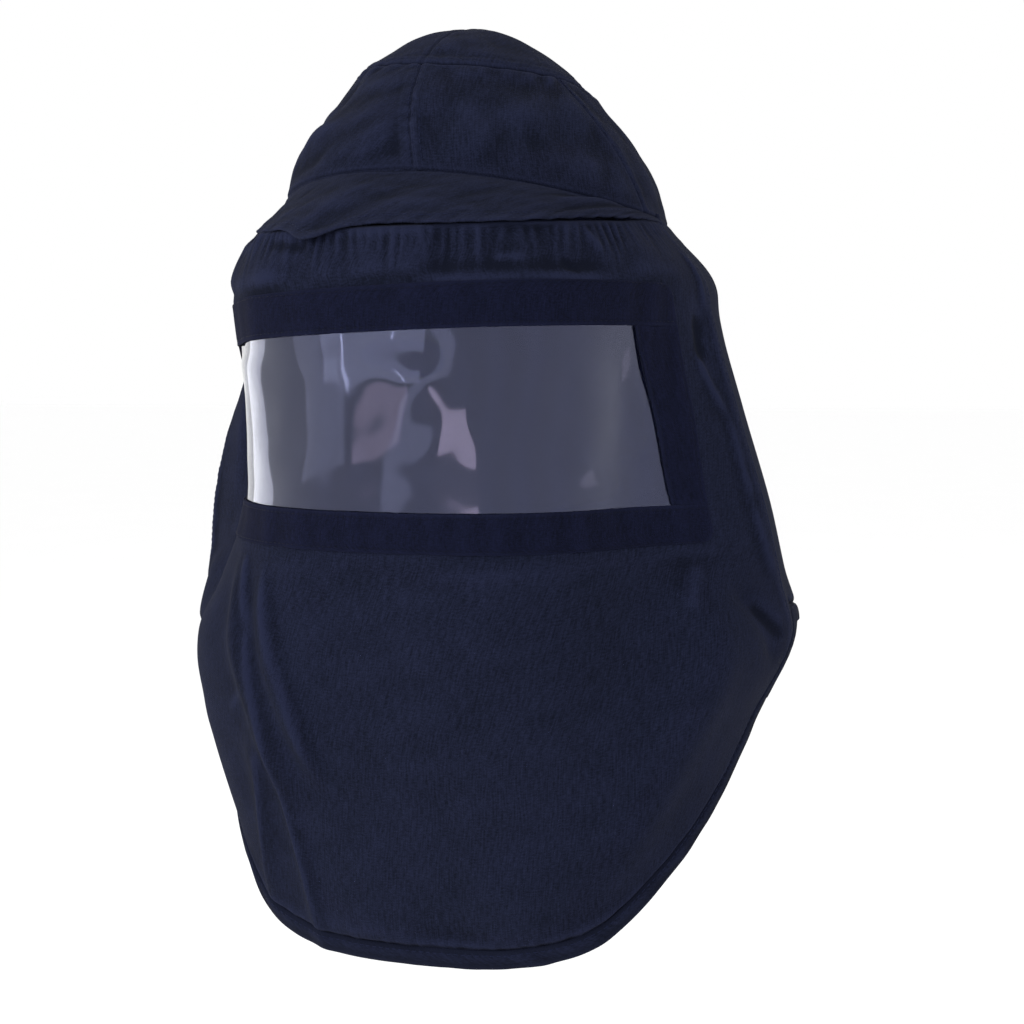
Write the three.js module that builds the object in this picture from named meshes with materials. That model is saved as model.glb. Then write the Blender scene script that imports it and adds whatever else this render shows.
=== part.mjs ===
// A steam protective hood of cotton cloth, in the shape it has over a hard hat: a sewn crown, a peak, a wide clear
// window in a frame of tapes, a long rounded bib and a short cape behind.
// Millimetres, +Z up. The origin is the inside of the crown's top, where it sits on the hat. The face looks along -Y.
// Angles run round the hood from the front (0) towards +X, in degrees, and "down" is the drop below the crown's top.
import * as THREE from "three";

const { clamp, degToRad, lerp, smoothstep } = THREE.MathUtils;

// Walls, and the gaps between pieces that are sewn together, wider at the film and the hem, which bend more
const CLOTH = 1.6;
const TAPE = 1.2;
const FILM = 1;
const HEM = 3;
const GAP = 0.3;
const FILM_GAP = 0.5;
const HEM_GAP = 0.5;

// Seam lines round the crown: their drop at the front, sides and back, and how much lower they lie at +X
const TOP_SEAM = { front: 38, side: 34, back: 36, lean: 7 };
const RIM_SEAM = { front: 106, side: 118, back: 122, lean: 7 };
const PEAK_EDGE = { front: 140, side: 127, back: 127, lean: 0 };

// Outlines seen from above: half width, reach to the front and back, and how square the corners are
const TOP_OUTLINE = { half: 70, front: 80, back: 92, square: 2 };
const RIM_OUTLINE = { half: 122, front: 122, back: 146, square: 2 };
const PEAK_OUTLINE = { half: 124, front: 168, back: 146, square: 2.3 };

// The crown's top is flat in the middle, and its side wall stands out between its seams
const TOP_ROUNDING = 1.8;
const CROWN_SWELL = 9;
const PEAK_SWELL = 3;

// Sections of the drape, each centred "middle" behind the origin: half width at the sides and across the face,
// and reach to the front and back
const DRAPE = [
  { down: 120, middle: 0, half: 138, face: 136, front: 170, back: 148 },
  { down: 150, middle: 0, half: 150, face: 143, front: 173, back: 152 },
  { down: 185, middle: 0, half: 154, face: 140, front: 172, back: 156 },
  { down: 240, middle: 0, half: 170, face: 133, front: 169, back: 160 },
  { down: 300, middle: 4, half: 188, face: 137, front: 170, back: 165 },
  { down: 345, middle: 14, half: 197, face: 160, front: 176, back: 170 },
  { down: 385, middle: 26, half: 205, face: 186, front: 182, back: 174 },
  { down: 430, middle: 22, half: 188, face: 182, front: 170, back: 176 },
  { down: 480, middle: 12, half: 174, face: 170, front: 149, back: 178 },
  { down: 530, middle: 0, half: 159, face: 156, front: 126, back: 178 },
  { down: 580, middle: 0, half: 146, face: 146, front: 112, back: 178 },
];

// How square the drape's corners are, how far below its top seam it has puffed out, and over how much of a turn its
// start moves from the peak's edge up to the crown's rim
const DRAPE_SQUARE = 2.4;
const BROW_PUFF = 45;
const PUFF_BLEND = 24;

// Where the face ends and the sides begin to flare, at +X and -X, and where they are at their widest
const FACE_ENDS = { left: 46, right: 62 };
const SIDE_STARTS = 88;

// The hem's drop round the hood, and how much lower it hangs at -X
const HEM_LINE = [
  { angle: 0, down: 573 },
  { angle: 30, down: 571 },
  { angle: 50, down: 559 },
  { angle: 62, down: 530 },
  { angle: 72, down: 492 },
  { angle: 80, down: 450 },
  { angle: 86, down: 415 },
  { angle: 92, down: 383 },
  { angle: 110, down: 396 },
  { angle: 140, down: 422 },
  { angle: 180, down: 438 },
];
const HEM_LEAN = 5;
const HEM_WIDTH = 9;

// The window and the tapes above and below it, and how much higher its top edge lies at +X
const WINDOW = { top: 198, bottom: 296, topTape: 24, bottomTape: 22, lean: 6 };

// The window's ends and the outer edges of its side tapes, as half angles at a drop
const WINDOW_SIDES = [
  { down: 174, inner: 53, outer: 66 },
  { down: 198, inner: 54.5, outer: 68 },
  { down: 245, inner: 61, outer: 71 },
  { down: 296, inner: 63.3, outer: 70.5 },
];
const FILM_LAP = 8;

// Where the crown and the drape are seamed round the hood. The crown's seams slant as they come down.
const CROWN_SIDE_SEAM = { top: 62, rim: 76 };
const FRONT_SEAM = { top: -4, rim: 3 };
const SIDE_SEAM = 84;

// Gathers under the peak's edge
const GATHER = { pitch: 8, depth: 1.8, from: 3, deepest: 10, to: 34, end: 76 };

// Folds of the drape: the line of the crest, its half width and how far it stands out (or in, below zero)
const FOLDS = [
  { fromAngle: -36, fromDown: 316, toAngle: -26, toDown: 480, width: 10, rise: 6 },
  { fromAngle: -27, fromDown: 322, toAngle: -17, toDown: 470, width: 8, rise: 5 },
  { fromAngle: -27, fromDown: 425, toAngle: -30, toDown: 590, width: 9, rise: 4 },
  { fromAngle: -31, fromDown: 415, toAngle: -50, toDown: 590, width: 10, rise: 5 },
  { fromAngle: 54, fromDown: 316, toAngle: 24, toDown: 530, width: 26, rise: -7 },
  { fromAngle: 67, fromDown: 316, toAngle: 46, toDown: 540, width: 16, rise: 5 },
  { fromAngle: 72, fromDown: 340, toAngle: 79, toDown: 400, width: 10, rise: -5 },
  { fromAngle: 84, fromDown: 130, toAngle: 84, toDown: 400, width: 10, rise: 4 },
  { fromAngle: -84, fromDown: 222, toAngle: -84, toDown: 400, width: 10, rise: 4 },
  { fromAngle: -76, fromDown: 335, toAngle: -76, toDown: 400, width: 16, rise: 6 },
];
const FOLD_FADE = 0.25;
const FOLD_REACH = 165;

// Soft dents in the crown's side wall: their middle (s as in the crown's face), half size and depth
const DENTS = [
  { angle: 20, s: 1.5, turn: 15, fall: 0.2, depth: 4 },
  { angle: 50, s: 1.6, turn: 12, fall: 0.3, depth: 5 },
  { angle: -42, s: 1.25, turn: 14, fall: 0.2, depth: 6 },
  { angle: -68, s: 1.45, turn: 24, fall: 0.4, depth: 5 },
];

// How finely the cloth is faceted: steps round the hood, in degrees, and rows down it
const CROWN_STEP = 6;
const PEAK_STEP = 4;
const BROW_STEP = 2;
const DRAPE_STEP = 4;
const CAPE_STEP = 7.2;
const STRIP_COLUMNS = 4;
const SIDE_COLUMNS = 3;
const TOP_ROWS = [0.3, 0.6, 0.85];
const CROWN_ROWS = 6;
const PEAK_ROWS = 2;
const BROW_ROWS = [0, 0.12, 0.32, 0.6, 1];
const WINDOW_ROWS = 4;
const BIB_ROWS = 9;
const CAPE_NECK = 150;

const NAVY = { color: 0x1d2338, roughness: 0.9, metalness: 0 };
const DARK_NAVY = { color: 0x141a2c, roughness: 0.85, metalness: 0 };
const CLEAR = { color: 0x8d90a0, roughness: 0.08, metalness: 0, transparent: true, opacity: 0.35 };

// A smooth curve through one column of a table, level past its ends.
function along(table, key, at, column) {
  const last = table.length - 1;
  if (at <= table[0][key]) {
    return table[0][column];
  }
  if (at >= table[last][key]) {
    return table[last][column];
  }
  const i = table.findIndex((row) => row[key] > at) - 1;
  const slope = (k) => {
    const before = table[Math.max(k - 1, 0)];
    const after = table[Math.min(k + 1, last)];
    return (after[column] - before[column]) / (after[key] - before[key]);
  };
  const step = table[i + 1][key] - table[i][key];
  const t = (at - table[i][key]) / step;
  const rest = 1 - t;
  return (
    table[i][column] * rest * rest * (1 + 2 * t) +
    table[i + 1][column] * t * t * (1 + 2 * rest) +
    step * t * rest * (slope(i) * rest - slope(i + 1) * t)
  );
}

// An outline's reach at an angle: an ellipse whose corners fill out as square goes past 2.
function reach(outline, angle) {
  const cos = Math.cos(degToRad(angle));
  const across = Math.abs(Math.sin(degToRad(angle))) / outline.half;
  const forward = Math.abs(cos) / (cos > 0 ? outline.front : outline.back);
  return (across ** outline.square + forward ** outline.square) ** (-1 / outline.square);
}

// A seam's drop at an angle.
function seamDown(seam, angle) {
  const cos = Math.cos(degToRad(angle));
  return lerp(seam.side, cos > 0 ? seam.front : seam.back, cos * cos) + seam.lean * Math.sin(degToRad(angle));
}

// The same angle counted from -180 to 180.
function turned(angle) {
  return angle > 180 ? angle - 360 : angle;
}

function place(angle, radius, middle, down) {
  return new THREE.Vector3(radius * Math.sin(degToRad(angle)), middle - radius * Math.cos(degToRad(angle)), -down);
}

function dentDepth(angle, s) {
  return DENTS.reduce((sum, dent) => {
    const away = ((turned(angle) - dent.angle) / dent.turn) ** 2 + ((s - dent.s) / dent.fall) ** 2;
    return sum + dent.depth * Math.exp(-away);
  }, 0);
}

// The crown's outer face: s runs from the apex (0) over the top seam (1) to the rim seam (2).
function crown(angle, s) {
  const top = seamDown(TOP_SEAM, angle);
  const topReach = reach(TOP_OUTLINE, angle);
  if (s < 1) {
    return place(angle, topReach * s, 0, lerp(-CLOTH, top, s ** TOP_ROUNDING));
  }
  const swell = (CROWN_SWELL - dentDepth(angle, s)) * Math.sin(Math.PI * (s - 1));
  const radius = lerp(topReach, reach(RIM_OUTLINE, angle), s - 1) + swell;
  return place(angle, radius, 0, lerp(top, seamDown(RIM_SEAM, angle), s - 1));
}

// The peak's outer face: s runs from the rim seam (0) to the peak's edge (1).
function peak(angle, s) {
  const rim = crown(angle, 2);
  const edge = place(angle, reach(PEAK_OUTLINE, angle), 0, seamDown(PEAK_EDGE, angle));
  const swell = PEAK_SWELL * Math.sin(Math.PI * s) * Math.cos(degToRad(angle));
  rim.lerp(edge, s);
  rim.z += swell;
  return rim;
}

// Where the drape puffs out from: the peak's edge in front, and up at the rim seam behind it.
function puffStart(angle) {
  const behind = smoothstep(Math.abs(angle), SIDE_SEAM, SIDE_SEAM + PUFF_BLEND);
  return {
    down: lerp(peakEdgeDown(angle), rimDown(angle), behind),
    radius: lerp(reach(PEAK_OUTLINE, angle), reach(RIM_OUTLINE, angle), behind),
  };
}

// The top edges of the front panel, under the peak, and of the cape, under the crown.
function peakEdgeDown(angle) {
  return seamDown(PEAK_EDGE, angle) + CLOTH + GAP;
}

function rimDown(angle) {
  return seamDown(RIM_SEAM, angle) + GAP;
}

// The hem's lower edge, and the panel's edge above it, which lies a hem's width in along the cloth.
function hemEdge(angle) {
  return along(HEM_LINE, "angle", Math.abs(turned(angle)), "down") - HEM_LEAN * Math.sin(degToRad(angle));
}

function hemTop(angle) {
  const step = 1;
  const run = 2 * degToRad(step) * FOLD_REACH;
  const slope = (hemEdge(angle + step) - hemEdge(angle - step)) / run;
  return hemEdge(angle) - HEM_WIDTH * Math.hypot(1, slope);
}

// How far the folds and gathers lift the drape at a point.
function foldRise(angle, down) {
  return FOLDS.reduce((sum, fold) => {
    const t = (down - fold.fromDown) / (fold.toDown - fold.fromDown);
    if (t < 0 || t > 1) {
      return sum;
    }
    const across = degToRad(angle - lerp(fold.fromAngle, fold.toAngle, t)) * FOLD_REACH;
    const fade = smoothstep(t, 0, FOLD_FADE) * (1 - smoothstep(t, 1 - FOLD_FADE, 1));
    return sum + fold.rise * fade * Math.exp(-((across / fold.width) ** 2));
  }, 0);
}

function gatherRise(angle, below) {
  const wave = Math.cos((2 * Math.PI * angle) / GATHER.pitch);
  const grows = smoothstep(below, GATHER.from, GATHER.deepest);
  const dies = 1 - smoothstep(below, GATHER.deepest, GATHER.to);
  const ends = 1 - smoothstep(Math.abs(angle), GATHER.end - 2 * GATHER.pitch, GATHER.end);
  return GATHER.depth * wave * grows * dies * ends;
}

// The drape's outer face at a turn round the hood and a drop. It puffs out from its top seam.
function drape(turn, down) {
  const angle = turned(turn);
  const section = { square: DRAPE_SQUARE };
  for (const column of ["half", "front", "back"]) {
    section[column] = along(DRAPE, "down", down, column);
  }
  const face = { ...section, half: along(DRAPE, "down", down, "face") };
  const faceEnds = angle > 0 ? FACE_ENDS.left : FACE_ENDS.right;
  const aside = smoothstep(Math.abs(angle), faceEnds, SIDE_STARTS);
  const full = lerp(reach(face, angle), reach(section, angle), aside);
  const top = puffStart(angle);
  const below = down - top.down;
  const puff = Math.sin((Math.PI / 2) * clamp(below / BROW_PUFF, 0, 1));
  const radius = lerp(top.radius, full, puff) + foldRise(angle, down) + gatherRise(angle, below);
  return place(angle, radius, along(DRAPE, "down", down, "middle"), down);
}

// The outward normal of a face that is given by an angle and a second coordinate that grows downwards.
// At the side seam it keeps to the radius, so that the ends sewn together there face each other squarely.
function normalOf(face, angle, s, step) {
  const turn = 0.6;
  const round = face(angle + turn, s).sub(face(angle - turn, s));
  const downward = face(angle, s + step).sub(face(angle, s - step));
  const normal = downward.cross(round).normalize();
  if (Math.abs(Math.abs(turned(angle)) - SIDE_SEAM) < turn) {
    normal.projectOnPlane(levelNormal(angle + 90)).normalize();
  }
  return normal;
}

// The way straight out from the hood's axis.
function levelNormal(angle) {
  return place(angle, 1, 0, 0);
}

// Equal steps from one value to another, both ends included.
function steps(from, to, count) {
  return Array.from({ length: count + 1 }, (_, i) => lerp(from, to, i / count));
}

// Angles about a given step apart.
function turns(from, to, step) {
  return steps(from, to, Math.max(1, Math.round((to - from) / step)));
}

// A sheet of cloth: rows of points on its outer face, each with its point on the inner face, and triangles between.
class Sheet {
  constructor(face, wall, { lift = 0, step = 0.5 } = {}) {
    Object.assign(this, { face, wall, lift, step, outer: [], inner: [], triangles: [] });
  }

  add(angle, s, normal = normalOf(this.face, angle, s, this.step)) {
    const point = this.face(angle, s).addScaledVector(normal, this.lift);
    this.outer.push(point);
    this.inner.push(point.clone().addScaledVector(normal, -this.wall));
    return { angle, index: this.outer.length - 1 };
  }

  row(angles, where, normalAt = () => undefined) {
    return angles.map((angle) => this.add(angle, where(angle), normalAt(angle)));
  }

  // Triangles between two rows. Equal rows are paired point by point, others by their angles.
  bridge(upper, lower) {
    const paired = upper.length === lower.length;
    const next = (row, i) => (paired ? i : row[i + 1].angle);
    let i = 0;
    let j = 0;
    while (i < upper.length - 1 || j < lower.length - 1) {
      const nextUpper = i < upper.length - 1 ? next(upper, i) : Infinity;
      const nextLower = j < lower.length - 1 ? next(lower, j) : Infinity;
      if (nextLower <= nextUpper) {
        this.triangles.push([upper[i].index, lower[j].index, lower[j + 1].index]);
        j += 1;
      } else {
        this.triangles.push([upper[i].index, lower[j].index, upper[i + 1].index]);
        i += 1;
      }
    }
  }

  rows(list) {
    list.slice(1).forEach((lower, i) => this.bridge(list[i], lower));
    return this;
  }

  // The closed wall: outer face, inner face turned round, and a rim along every free edge.
  geometry() {
    const count = this.outer.length;
    const open = new Map();
    const index = [];
    for (const [a, b, c] of this.triangles) {
      index.push(a, b, c, c + count, b + count, a + count);
      for (const [from, to] of [[a, b], [b, c], [c, a]]) {
        if (!open.delete(`${to} ${from}`)) {
          open.set(`${from} ${to}`, [from, to]);
        }
      }
    }
    for (const [from, to] of open.values()) {
      index.push(to, from, from + count, to, from + count, to + count);
    }
    const geometry = new THREE.BufferGeometry().setFromPoints([...this.outer, ...this.inner]);
    return geometry.setIndex(index);
  }
}

const hood = new THREE.Group();

function addPiece(name, sheet, finish) {
  const mesh = new THREE.Mesh(sheet.geometry(), new THREE.MeshStandardMaterial(finish));
  mesh.name = name;
  hood.add(mesh);
}

// The angle that half a gap takes up at a given radius.
function gapTurn(radius) {
  return THREE.MathUtils.radToDeg(GAP / 2 / radius);
}

// The oval top panel is a cap of rings round its apex.
function crownTop() {
  const sheet = new Sheet(crown, CLOTH, { step: 0.04 });
  const apex = sheet.add(0, 0, new THREE.Vector3(0, 0, 1));
  const angles = turns(-180, 180, CROWN_STEP).slice(0, -1);
  const edge = (angle) => 1 - GAP / 2 / reach(TOP_OUTLINE, angle);
  const rings = [...TOP_ROWS.map((s) => () => s), edge].map((where) => {
    const ring = sheet.row(angles, where);
    return [...ring, { angle: 180, index: ring[0].index }];
  });
  rings[0].slice(1).forEach((next, i) => {
    sheet.triangles.push([apex.index, rings[0][i].index, next.index]);
  });
  return sheet.rows(rings);
}

// A panel of the crown's side wall, between two seams that may slant. Its lower edge is cut level.
function crownPanel(from, to) {
  const sheet = new Sheet(crown, CLOTH, { step: 0.04 });
  const turn = gapTurn(TOP_OUTLINE.half);
  const start = 1 + GAP / 2 / (RIM_SEAM.side - TOP_SEAM.side);
  const count = Math.round((to.rim - from.rim) / CROWN_STEP);
  return sheet.rows(
    steps(start, 2, CROWN_ROWS).map((s) => {
      const left = lerp(from.top, from.rim, s - 1) + turn;
      const right = lerp(to.top, to.rim, s - 1) - turn;
      return sheet.row(steps(left, right, count), () => s, s < 2 ? undefined : levelNormal);
    }),
  );
}

// Where the front pieces end and the cape begins, half a gap on either side of the side seam
const FRONT_EDGE = SIDE_SEAM - gapTurn(RIM_OUTLINE.half);
const CAPE_EDGE = SIDE_SEAM + gapTurn(RIM_OUTLINE.half);

function peakBand() {
  const sheet = new Sheet(peak, CLOTH, { step: 0.02 });
  const angles = turns(-FRONT_EDGE, FRONT_EDGE, PEAK_STEP);
  const start = (angle) => GAP / peak(angle, 0).distanceTo(peak(angle, 1));
  return sheet.rows(
    steps(0, 1, PEAK_ROWS).map((t) => sheet.row(angles, (angle) => lerp(start(angle), 1, t))),
  );
}

// The window's half angle at a drop, and that of the tapes' outer edges.
function windowTurn(down) {
  return along(WINDOW_SIDES, "down", down, "inner");
}

function tapeTurn(down) {
  return along(WINDOW_SIDES, "down", down, "outer");
}

// A line across the frame at a level, tilted above the window's bottom edge: its drop at an angle.
function tilted(level) {
  const tilt = clamp((WINDOW.bottom - level) / (WINDOW.bottom - WINDOW.top), 0, 1);
  return (angle) => level - WINDOW.lean * tilt * Math.sin(degToRad(angle));
}

const TAPE_TOP = WINDOW.top - WINDOW.topTape;
const TAPE_BOTTOM = WINDOW.bottom + WINDOW.bottomTape;

// Rows down the drape that the front panel and the cape share, so that they match along the side seam
const WINDOW_DOWNS = steps(WINDOW.top, WINDOW.bottom, WINDOW_ROWS);
const BIB_DOWNS = steps(0, 1, BIB_ROWS).map((t) => (angle) => lerp(TAPE_BOTTOM, hemTop(angle) - HEM_GAP, t));
// The front panel's columns at a drop: the face between the window's ends, then the strip under the side tape and
// the rest of each side. The tapes and the film have the same columns, so that they lie flat on the panel.
function panelAngles(down) {
  const turn = windowTurn(down);
  const strip = steps(turn, tapeTurn(down), STRIP_COLUMNS);
  const left = [...strip, ...steps(tapeTurn(down), FRONT_EDGE, SIDE_COLUMNS).slice(1)];
  const mirrored = (angles) => angles.map((angle) => -angle).reverse();
  const face = turns(-turn, turn, DRAPE_STEP).slice(1, -1);
  return {
    left,
    right: mirrored(left),
    whole: [...mirrored(left), ...face, ...left],
    leftStrip: strip,
    rightStrip: mirrored(strip),
    taped: [...mirrored(strip), ...face, ...strip],
    glazed: [...mirrored(strip.slice(0, 2)), ...face, ...strip.slice(0, 2)],
  };
}

// One cloth from the peak's edge to the hem, with the window left out of its middle rows.
function frontPanel() {
  const sheet = new Sheet(drape, CLOTH);
  const level = (down, angles) => sheet.row(angles, tilted(down));
  const browAngles = turns(-FRONT_EDGE, FRONT_EDGE, BROW_STEP);
  const brow = BROW_ROWS.map((t) =>
    sheet.row(browAngles, (angle) => lerp(peakEdgeDown(angle), tilted(TAPE_TOP)(angle), t)),
  );
  const lintel = level(WINDOW.top, panelAngles(WINDOW.top).whole);
  const sill = level(WINDOW.bottom, panelAngles(WINDOW.bottom).whole);
  sheet.rows([...brow, lintel]);
  const between = WINDOW_DOWNS.slice(1, -1);
  for (const side of ["right", "left"]) {
    const count = panelAngles(WINDOW.top)[side].length;
    const part = (row) => (side === "right" ? row.slice(0, count) : row.slice(-count));
    sheet.rows([part(lintel), ...between.map((down) => level(down, panelAngles(down)[side])), part(sill)]);
  }
  const bibAngles = panelAngles(TAPE_BOTTOM).whole;
  return sheet.rows([sill, ...BIB_DOWNS.map((bibDown) => sheet.row(bibAngles, bibDown))]);
}

const CAPE_ANGLES = turns(CAPE_EDGE, 360 - CAPE_EDGE, CAPE_STEP);

function backCape() {
  const sheet = new Sheet(drape, CLOTH);
  const level = [TAPE_TOP, ...WINDOW_DOWNS].map(tilted);
  const downs = [rimDown, () => CAPE_NECK, ...level, ...BIB_DOWNS];
  return sheet.rows(downs.map((where) => sheet.row(CAPE_ANGLES, where)));
}

// A hem is a double fold of cloth past a panel's edge, so it stands out on both faces.
function hem(angles) {
  const sheet = new Sheet(drape, HEM, { lift: (HEM - CLOTH) / 2 });
  return sheet.rows([sheet.row(angles, hemTop), sheet.row(angles, hemEdge)]);
}

// A tape lies on the front panel, between two drops and two angles that may change with the drop.
function tape(top, bottom, rows, anglesAt) {
  const sheet = new Sheet(drape, TAPE, { lift: GAP + TAPE });
  return sheet.rows(steps(top, bottom, rows).map((down) => sheet.row(anglesAt(down), tilted(down))));
}

function longTape(top, bottom) {
  return tape(top, bottom, 1, (down) => panelAngles(down).taped);
}

function sideTape(strip) {
  return tape(WINDOW.top + GAP, WINDOW.bottom - GAP, WINDOW_ROWS, (down) => panelAngles(down)[strip]);
}

// The film lies behind the front panel and laps past the window's edges. Its ends are bridged as the panel's are.
function windowFilm() {
  const sheet = new Sheet(drape, FILM, { lift: -CLOTH - FILM_GAP });
  const downs = [WINDOW.top - FILM_LAP, ...WINDOW_DOWNS, WINDOW.bottom + FILM_LAP];
  const rows = downs.map((down) => sheet.row(panelAngles(down).glazed, tilted(down)));
  sheet.rows(rows.map((row) => row.slice(0, 2)));
  sheet.rows(rows.map((row) => row.slice(1, -1)));
  return sheet.rows(rows.map((row) => row.slice(-2)));
}

addPiece("crown_top", crownTop(), NAVY);
const leftSeam = CROWN_SIDE_SEAM;
const rightSeam = { top: -leftSeam.top, rim: -leftSeam.rim };
const rightSeamBehind = { top: 360 - leftSeam.top, rim: 360 - leftSeam.rim };

addPiece("crown_front_right", crownPanel(rightSeam, FRONT_SEAM), NAVY);
addPiece("crown_front_left", crownPanel(FRONT_SEAM, leftSeam), NAVY);
addPiece("crown_back", crownPanel(leftSeam, rightSeamBehind), NAVY);
addPiece("peak_band", peakBand(), NAVY);
addPiece("front_panel", frontPanel(), NAVY);
addPiece("back_cape", backCape(), NAVY);
addPiece("hem_front", hem(panelAngles(TAPE_BOTTOM).whole), NAVY);
addPiece("hem_back", hem(CAPE_ANGLES), NAVY);
addPiece("window_tape_top", longTape(TAPE_TOP, WINDOW.top), DARK_NAVY);
addPiece("window_tape_bottom", longTape(WINDOW.bottom, TAPE_BOTTOM), DARK_NAVY);
addPiece("window_tape_left", sideTape("leftStrip"), DARK_NAVY);
addPiece("window_tape_right", sideTape("rightStrip"), DARK_NAVY);
addPiece("window_film", windowFilm(), CLEAR);

export default hood;
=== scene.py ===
"""Looks of a steam protective hood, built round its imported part.

Every cloth piece is made again from the part's own sections, more finely, with gathers, creases, seams
and stitches. Tables and fields are in millimetres and degrees, as in the part; meshes are written in metres
in the part's frame. Angles run round the hood from the front (0) towards +X, and "down" is the drop below
the crown's top.
"""

from __future__ import annotations

import logging
import math
from dataclasses import dataclass, field
from enum import Enum
from typing import NamedTuple

import bpy
import numpy as np
from mathutils import Matrix, Vector

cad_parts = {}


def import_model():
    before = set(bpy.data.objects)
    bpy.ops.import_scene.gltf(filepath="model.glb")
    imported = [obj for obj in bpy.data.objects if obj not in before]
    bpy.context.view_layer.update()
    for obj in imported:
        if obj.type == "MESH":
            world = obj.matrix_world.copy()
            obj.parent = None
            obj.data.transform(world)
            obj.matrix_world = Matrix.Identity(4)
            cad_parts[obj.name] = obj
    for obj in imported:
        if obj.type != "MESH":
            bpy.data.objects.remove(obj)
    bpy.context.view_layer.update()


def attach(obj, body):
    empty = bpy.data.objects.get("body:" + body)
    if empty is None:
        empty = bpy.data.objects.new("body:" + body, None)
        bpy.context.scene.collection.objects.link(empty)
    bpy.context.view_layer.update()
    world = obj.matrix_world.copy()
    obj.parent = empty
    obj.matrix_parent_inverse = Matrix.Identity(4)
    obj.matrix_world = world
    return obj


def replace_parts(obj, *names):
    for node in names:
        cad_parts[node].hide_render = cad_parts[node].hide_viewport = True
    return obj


LOG = logging.getLogger("hood")
MM = 0.001
# Keeps a length of zero from being divided by
TINY = 1e-9
# The photograph's width and focal length in its own pixels, and the width of the camera's sensor
PHOTO_WIDTH = 1024
PHOTO_FOCAL = 1340
SENSOR = 36
Array = np.ndarray


class Slot(Enum):
    """Material slots."""

    CLOTH = "work_cloth"
    TAPE = "frame_tape"
    FILM = "clear_film"


class Held(Enum):
    """How a sheet is held."""

    STRETCHED = "stretched"
    GATHERED = "gathered"
    HUNG = "hung"
    LAID = "laid"


class Edge(Enum):
    """The edges of a patch: its first and last rows and columns."""

    TOP = "top"
    BOTTOM = "bottom"
    LEFT = "left"
    RIGHT = "right"


class Seam(NamedTuple):
    """Drop of a seam line at the front, sides and back, and how much lower it lies at +X."""

    front: float
    side: float
    back: float
    lean: float


class Outline(NamedTuple):
    """Outline seen from above: half width, reach to the front and back, and how square its corners are."""

    half: float
    front: float
    back: float
    square: float


class Section(NamedTuple):
    """Section of the drape at a drop, centred "middle" behind the origin."""

    down: float
    middle: float
    half: float
    face: float
    front: float
    back: float


class HemPoint(NamedTuple):
    """Drop of the hem at an angle."""

    angle: float
    down: float


class Fold(NamedTuple):
    """Fold of the drape: the line of its crest, its half width and how far it stands out."""

    from_angle: float
    from_down: float
    to_angle: float
    to_down: float
    width: float
    rise: float


class Dent(NamedTuple):
    """Soft dent in the crown's wall: its middle, half size and depth."""

    angle: float
    s: float
    turn: float
    fall: float
    depth: float


class WindowSide(NamedTuple):
    """Half angles of the window's end and of its side tape's outer edge at a drop."""

    down: float
    inner: float
    outer: float


class GatherZone(NamedTuple):
    """Stretch of the brow with gathers of about one pitch, depth and length."""

    from_angle: float
    to_angle: float
    pitch: float
    rise: float
    length: float


class Ripple(NamedTuple):
    """Soft random undulation: height, distance from crest to crest, seed, and its rate down the cloth."""

    rise: float
    length: float
    seed: int
    rate: float = 1.0

    def at(self, x: Array, y: Array, seed: int = 0) -> Array:
        """The height at places across and down the cloth, with a seed of the piece's own."""
        return self.rise * waves(x, self.rate * y, self.length, self.seed + seed)


def smooth(value: Array, low: Array | float, high: Array | float) -> Array:
    """A soft step from 0 at low to 1 at high."""
    t = np.clip((value - low) / (high - low), 0, 1)
    return t * t * (3 - 2 * t)


def mix(first: Array | float, second: Array | float, t: Array | float) -> Array:
    """A straight blend of two values."""
    return first + (second - first) * t


def bell(value: Array) -> Array:
    """A bell curve of height 1."""
    return np.exp(-(value**2))


def turned(angle: Array) -> Array:
    """The same angles counted from -180 to 180."""
    return np.where(angle > 180, angle - 360, angle)


def along(table: tuple[NamedTuple, ...], key: str, at: Array, name: str) -> Array:
    """A smooth curve through one column of a table, level past its ends.

    Args:
        table: rows with named columns.
        key: the column that runs along the curve.
        at: where to read the curve.
        name: the column to read.

    Returns:
        The column's value at each place.
    """
    keys = np.array([getattr(row, key) for row in table], float)
    values = np.array([getattr(row, name) for row in table], float)
    before = np.maximum(np.arange(len(keys)) - 1, 0)
    after = np.minimum(np.arange(len(keys)) + 1, len(keys) - 1)
    slopes = (values[after] - values[before]) / (keys[after] - keys[before])
    at = np.clip(at, keys[0], keys[-1])
    i = np.clip(np.searchsorted(keys, at, "right") - 1, 0, len(keys) - 2)
    step = keys[i + 1] - keys[i]
    t = (at - keys[i]) / step
    rest = 1 - t
    ends = values[i] * rest**2 * (1 + 2 * t) + values[i + 1] * t**2 * (1 + 2 * rest)
    return ends + step * t * rest * (slopes[i] * rest - slopes[i + 1] * t)


def waves(x: Array, y: Array, length: float, seed: int) -> Array:
    """Soft random undulation of about unit height.

    Args:
        x: place across, in millimetres.
        y: place down, in millimetres.
        length: typical distance from crest to crest.
        seed: picks one undulation.

    Returns:
        The height at each place.
    """
    rng = np.random.default_rng(seed)
    count = 16
    total = np.zeros(np.broadcast(x, y).shape)
    for _ in range(count):
        turn, phase = rng.uniform(0, 2 * math.pi, 2)
        rate = 2 * math.pi / (length * rng.uniform(0.7, 1.6))
        total += np.cos(rate * (x * math.cos(turn) + y * math.sin(turn)) + phase)
    return total * math.sqrt(2 / count)


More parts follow.
